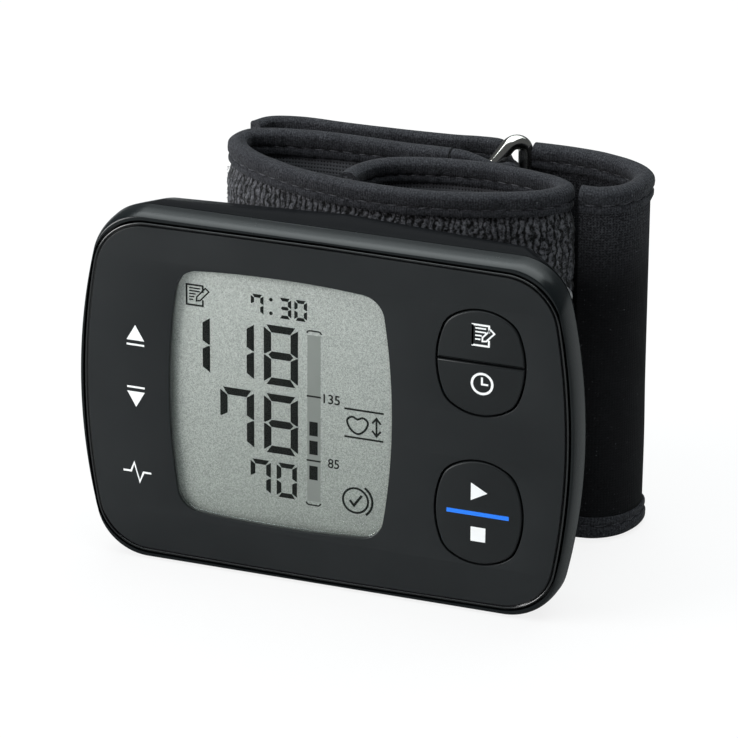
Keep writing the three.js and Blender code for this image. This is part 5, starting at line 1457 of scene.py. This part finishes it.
def stitches(name, line, edge, upwards, out, seed):
    """Short dashes of thread, each a small capsule that dips at both ends."""
    dice = np.random.default_rng(seed)
    starts = np.arange(1.0, line.length - STITCH_LONG - 0.8, STITCH_PITCH)
    step = line.length / (len(line) - 1)
    edge = np.asarray(edge, float).reshape(-1) * np.ones(len(line))
    capsule = [*tube_faces(7, 6)[:-2], tuple(range(5, -1, -1)), tuple(range(36, 42))]
    points, faces = [], []
    for side in (1, -1):
        for start in starts:
            tilt, base = dice.normal(0, 0.12), len(points)
            start += dice.normal(0, 0.12)
            for t in np.linspace(0, 1, 7):
                index = (start + t * STITCH_LONG) / step
                radius = STITCH_THREAD * math.sin(math.pi * min(max(t, 0.06), 0.94)) ** 0.5
                reach = out + 0.06 * math.sin(math.pi * t) - 0.03
                height = np.interp(index, np.arange(len(line)), edge)
                height += tilt * (t - 0.5) - upwards * STITCH_DOWN
                for k in range(6):
                    a = 2 * math.pi * k / 6
                    points.append(on_line(line, index, side * (reach + radius * math.cos(a)),
                                          height + radius * math.sin(a)))
            faces += [tuple(base + corner for corner in face[::side]) for face in capsule]
    return piece_from(name, np.array(points), faces)


def bind(band, line, low, high, tape, seed, fuller=0.0, room=np.inf):
    """Tape and stitches along both edges of a band. Only the upper tape may be fuller."""
    made = []
    for side, edge, upwards, first, bulge in (
        ("top", high, 1, seed, fuller), ("bottom", low, -1, seed + 1, 0.0),
    ):
        name = f"{band}_edge_tape_{side}"
        folded = sweep(name, line,
                       lambda l: tape_section(l, edge, upwards, *tape, first, bulge, room))
        wear(folded, TAPE_FABRIC, replaces=[f"{band}_binding_{side}"])
        sewn = stitches(name + "_stitches", line, edge, upwards, tape[1] * 0.74 + 0.04, first + 50)
        wear(sewn, THREAD_GREY)
        made += [folded, sewn]
    return made


# How far out the inside and the outside of the folded tape lie
CUFF_TAPE, STRAP_TAPE, BAND_TAPE = (1.0, 1.6), (0.85, 1.3), (1.35, 1.8)
cuff_edges = bind("cuff", MAIN, 0.0, CUFF_HIGH, CUFF_TAPE, 31)

# %% [markdown]
# ## The strap
# The strap goes on from the end of the cuff, passes through the ring, folds round its
# leg and is laid back to the left, where the hook patch grips the pile. It clears the
# ring's lower end all the way, and its upper edge dips only where the ring bridges it.
# On the side of the leg the tapes are pressed flat, which leaves room for the ring's swing.

# %% Strap with its tapes and hook patch
FOLD_BOTTOM, FOLD_TOP, FOLD_TAPER, SAG, SWING_SPARE = 3.6, 63.9, 1.2, 2.0, 0.6
from_ring = np.stack([STRAP.x - RING_X, STRAP.y - RING_Y], 1)
nearest = np.clip(from_ring @ ring_way, -RING_SPAN / 2, RING_SPAN / 2)[:, None] * ring_way
apart = np.linalg.norm(from_ring - nearest, axis=1) - RING_WIRE / 2 - 0.2
STRAP_LOW = np.full(len(STRAP), FOLD_BOTTOM)
STRAP_HIGH = FOLD_TOP + (CUFF_HIGH - FOLD_TOP) * smooth_step(apart, 0, FOLD_TAPER)
at_ring = STRAP.along[np.argmin(np.hypot(*from_ring.T))]
sag = smooth_step(STRAP.along, 1.0, at_ring - 3.0)
sag *= 1 - smooth_step(STRAP.along, at_ring + 0.9, at_ring + 3.7)
gathered = 0.22 * np.exp(-((STRAP.along - at_ring) / 1.3) ** 2)
STRAP_HIGH = STRAP_HIGH - SAG * sag
STRAP_LOW = STRAP_LOW + SAG * sag
swing_room = np.hypot(STRAP.x - LEFT_LEG[0], STRAP.y - LEFT_LEG[1]) - RING_WIRE / 2 - SWING_SPARE


def strap_section(line, half=0.7, low=STRAP_LOW, high=STRAP_HIGH, seed=41, swing=0.1):
    share = np.linspace(0, 1, 60)
    height = low[:, None] + EDGE_BED + (high - low - 2 * EDGE_BED)[:, None] * share
    u = np.repeat(line.along[:, None], len(share), 1)
    soft = waves(u, height, 8, 14, seed) * swing * np.sin(math.pi * share)
    return (np.hstack([half + soft, (-half + soft)[:, ::-1]]), np.hstack([height, height[:, ::-1]]))


strap = sweep("fastening_strap_mesh", STRAP, strap_section)
wear(strap, BAND_MESH, replaces=["fastening_strap"])
strap_edges = bind("strap", STRAP, STRAP_LOW, STRAP_HIGH, STRAP_TAPE, 33, gathered, swing_room)
hook = softened("hook_patch", "hook_patch_face", 0.15)
wear(hook, HOOK_FABRIC, replaces=["hook_patch"])

# %% [markdown]
# ## The ring band, its keeper and the ring
# The band on the right is sewn to the cuff's outside and carries the ring in a small
# loop of tape. The ring is a long closed loop of round wire with sloping shoulders, so
# that its sewn side is the longer one. It is swept as a circle round its path, fine
# enough for clean reflections.

# %% Ring band and keeper
def band_section(line):
    low, high = np.zeros(len(line)), np.full(len(line), CUFF_HIGH)
    return strap_section(line, 1.2, low, high, 43, 0.22)


ring_band = sweep("ring_band_mesh", RING_BAND, band_section)
wear(ring_band, BAND_MESH, replaces=["ring_band"])
band_edges = bind("ring_band", RING_BAND, 0.0, CUFF_HIGH, BAND_TAPE, 35)


def keeper_section(line):
    h = np.tile(np.linspace(KEEPER_LOW, CUFF_HIGH - KEEPER_LOW, 40), (len(line), 1))
    return np.hstack([0.28 + 0 * h, -0.28 + 0 * h]), np.hstack([h, h[:, ::-1]])


keeper = sweep("ring_keeper_tape", KEEPER, keeper_section)
wear(keeper, TAPE_FABRIC, replaces=["ring_keeper"])

# %% Metal ring
RING_LIFT, RING_HIGH = 0.4, 66.6
radius, half_wire = RING_SPAN / 2, RING_WIRE / 2
RING_MIDDLE = RING_LIFT + RING_HIGH / 2
SHOULDER_PEAK, SHOULDER_END, BEND, WIRE_SIDES = 34.35, 27.9, 2.0, 28


def rounded_path(corners, bend, count=14):
    """A closed path through corners, each turned with an arc of one radius."""
    made = []
    for i, here in enumerate(corners):
        before, after = corners[i - 1], corners[(i + 1) % len(corners)]
        back = (before - here) / np.linalg.norm(before - here)
        on = (after - here) / np.linalg.norm(after - here)
        half = math.acos(np.clip(np.dot(back, on), -1, 1)) / 2
        middle = here + (back + on) / np.linalg.norm(back + on) * bend / math.sin(half)
        start = here + back * bend / math.tan(half) - middle
        end = here + on * bend / math.tan(half) - middle
        sweep_angle = math.pi - 2 * half
        first = math.atan2(start[1], start[0])
        way = 1 if start[0] * end[1] - start[1] * end[0] > 0 else -1
        for t in np.linspace(0, 1, count):
            a = first + way * sweep_angle * t
            made.append((middle[0] + bend * math.cos(a), middle[1] + bend * math.sin(a)))
    return np.array(made)


corners = np.array([(radius, SHOULDER_PEAK), (-radius, SHOULDER_END),
                    (-radius, -SHOULDER_END), (radius, -SHOULDER_PEAK)])
path = rounded_path(corners, BEND)
ahead = np.roll(path, -1, 0) - np.roll(path, 1, 0)
ahead /= np.linalg.norm(ahead, axis=1)[:, None]
points = []
for (x, z), (tx, tz) in zip(path, ahead):
    for k in range(WIRE_SIDES):
        b = 2 * math.pi * k / WIRE_SIDES
        out, aside = half_wire * math.cos(b), half_wire * math.sin(b)
        wide, tall = x + out * tz, z - out * tx
        points.append((RING_X + wide * math.cos(RING_TURN) - aside * math.sin(RING_TURN),
                       RING_Y + wide * math.sin(RING_TURN) + aside * math.cos(RING_TURN),
                       RING_MIDDLE + tall))
ring = piece_from("metal_ring", np.array(points), tube_faces(len(path), WIRE_SIDES, closed=True))
wear(ring, RING_CHROME, "ring", ["d_ring"])
print("ring:", len(ring.data.polygons), "faces")

# %% [markdown]
# ## What the cuff was cut to
# Each cloth was a flat piece before it was folded. The cuff's flat size is printed, so
# that the sewn model can be checked against a pattern.

# %% Flat sizes of the cloths
print("cuff cut to", round(CUFF_HIGH, 1), "x", round(MAIN.length, 1), "mm")

# %% [markdown]
# ## Floor and light
# The set is a pale sweep with plain soft light: a wide lamp overhead, a large one at the
# front left, and a weak one behind that draws the shoulder of the case. The floor is
# white for the camera and keeps the soft shadow that the object casts. In reflections it
# is a grey card, so that glossy black edges stay black.

# %% Floor, world and lamps
bpy.context.scene.view_settings.view_transform = "Standard"
FLOOR_HALF, FLOOR_LEVEL = 6, -0.02 * MM
floor_corners = [(x, y, FLOOR_LEVEL)
                 for x, y in box_shape(-FLOOR_HALF, -FLOOR_HALF, FLOOR_HALF, FLOOR_HALF)]
floor = linked("floor", bpy.data.meshes.new("floor"))
floor.data.from_pydata(floor_corners, [], [(0, 1, 2, 3)])
floor_white = bpy.data.materials.new("floor_white")
floor_white.use_nodes = True
tools = Nodes(floor_white.node_tree)
tools.tree.nodes.clear()
result = tools.add("ShaderNodeOutputMaterial")
matt = tools.add("ShaderNodeBsdfDiffuse")
glow = tools.add("ShaderNodeEmission")
glow.inputs["Color"].default_value = (1, 1, 1, 1)
rays = tools.add("ShaderNodeLightPath")
seen = tools.math("MAXIMUM", rays.outputs["Is Camera Ray"], rays.outputs["Is Transmission Ray"])
card = tools.blend(rays.outputs["Is Glossy Ray"], (0.86, 0.86, 0.86), (0.26, 0.26, 0.26))
tools.put(matt.inputs["Color"], card)
share = tools.math("MULTIPLY", seen, 0.84)
mixed = tools.add("ShaderNodeMixShader")
for socket, value in zip(mixed.inputs, (share, matt.outputs[0], glow.outputs[0])):
    tools.put(socket, value)
tools.put(result.inputs["Surface"], mixed.outputs[0])
floor.data.materials.append(floor_white)

world = bpy.data.worlds.new("studio")
bpy.context.scene.world = world
world.use_nodes = True
tools = Nodes(world.node_tree)
tools.tree.nodes.clear()
result = tools.add("ShaderNodeOutputWorld")
soft = tools.add("ShaderNodeBackground")
soft.inputs["Color"].default_value = (0.92, 0.96, 1.0, 1)
soft.inputs["Strength"].default_value = 0.09
tools.put(result.inputs["Surface"], soft.outputs[0])


def lamp(name, place, aim_at, size, power, colour=(1, 1, 1)):
    data = bpy.data.lights.new(name, "AREA")
    data.shape, data.size, data.size_y = "RECTANGLE", size[0], size[1]
    data.energy, data.color = power, colour
    made = linked(name, data)
    made.location, made.rotation_mode = place, "QUATERNION"
    made.rotation_quaternion = (Vector(aim_at) - Vector(place)).to_track_quat("-Z", "Y")


lamp("top_lamp", (-0.05, 0.20, 0.85), (-0.05, 0.20, 0.0), (1.2, 1.3), 13.0, (0.92, 0.99, 1.0))
lamp("front_lamp", (-0.70, -0.48, 0.27), (0.0, 0.0, 0.03), (0.55, 0.55), 8.5)
lamp("back_lamp", (0.05, 0.92, 0.74), (0.0, 0.0, 0.06), (1.3, 0.36), 1.2, (0.90, 0.99, 1.0))
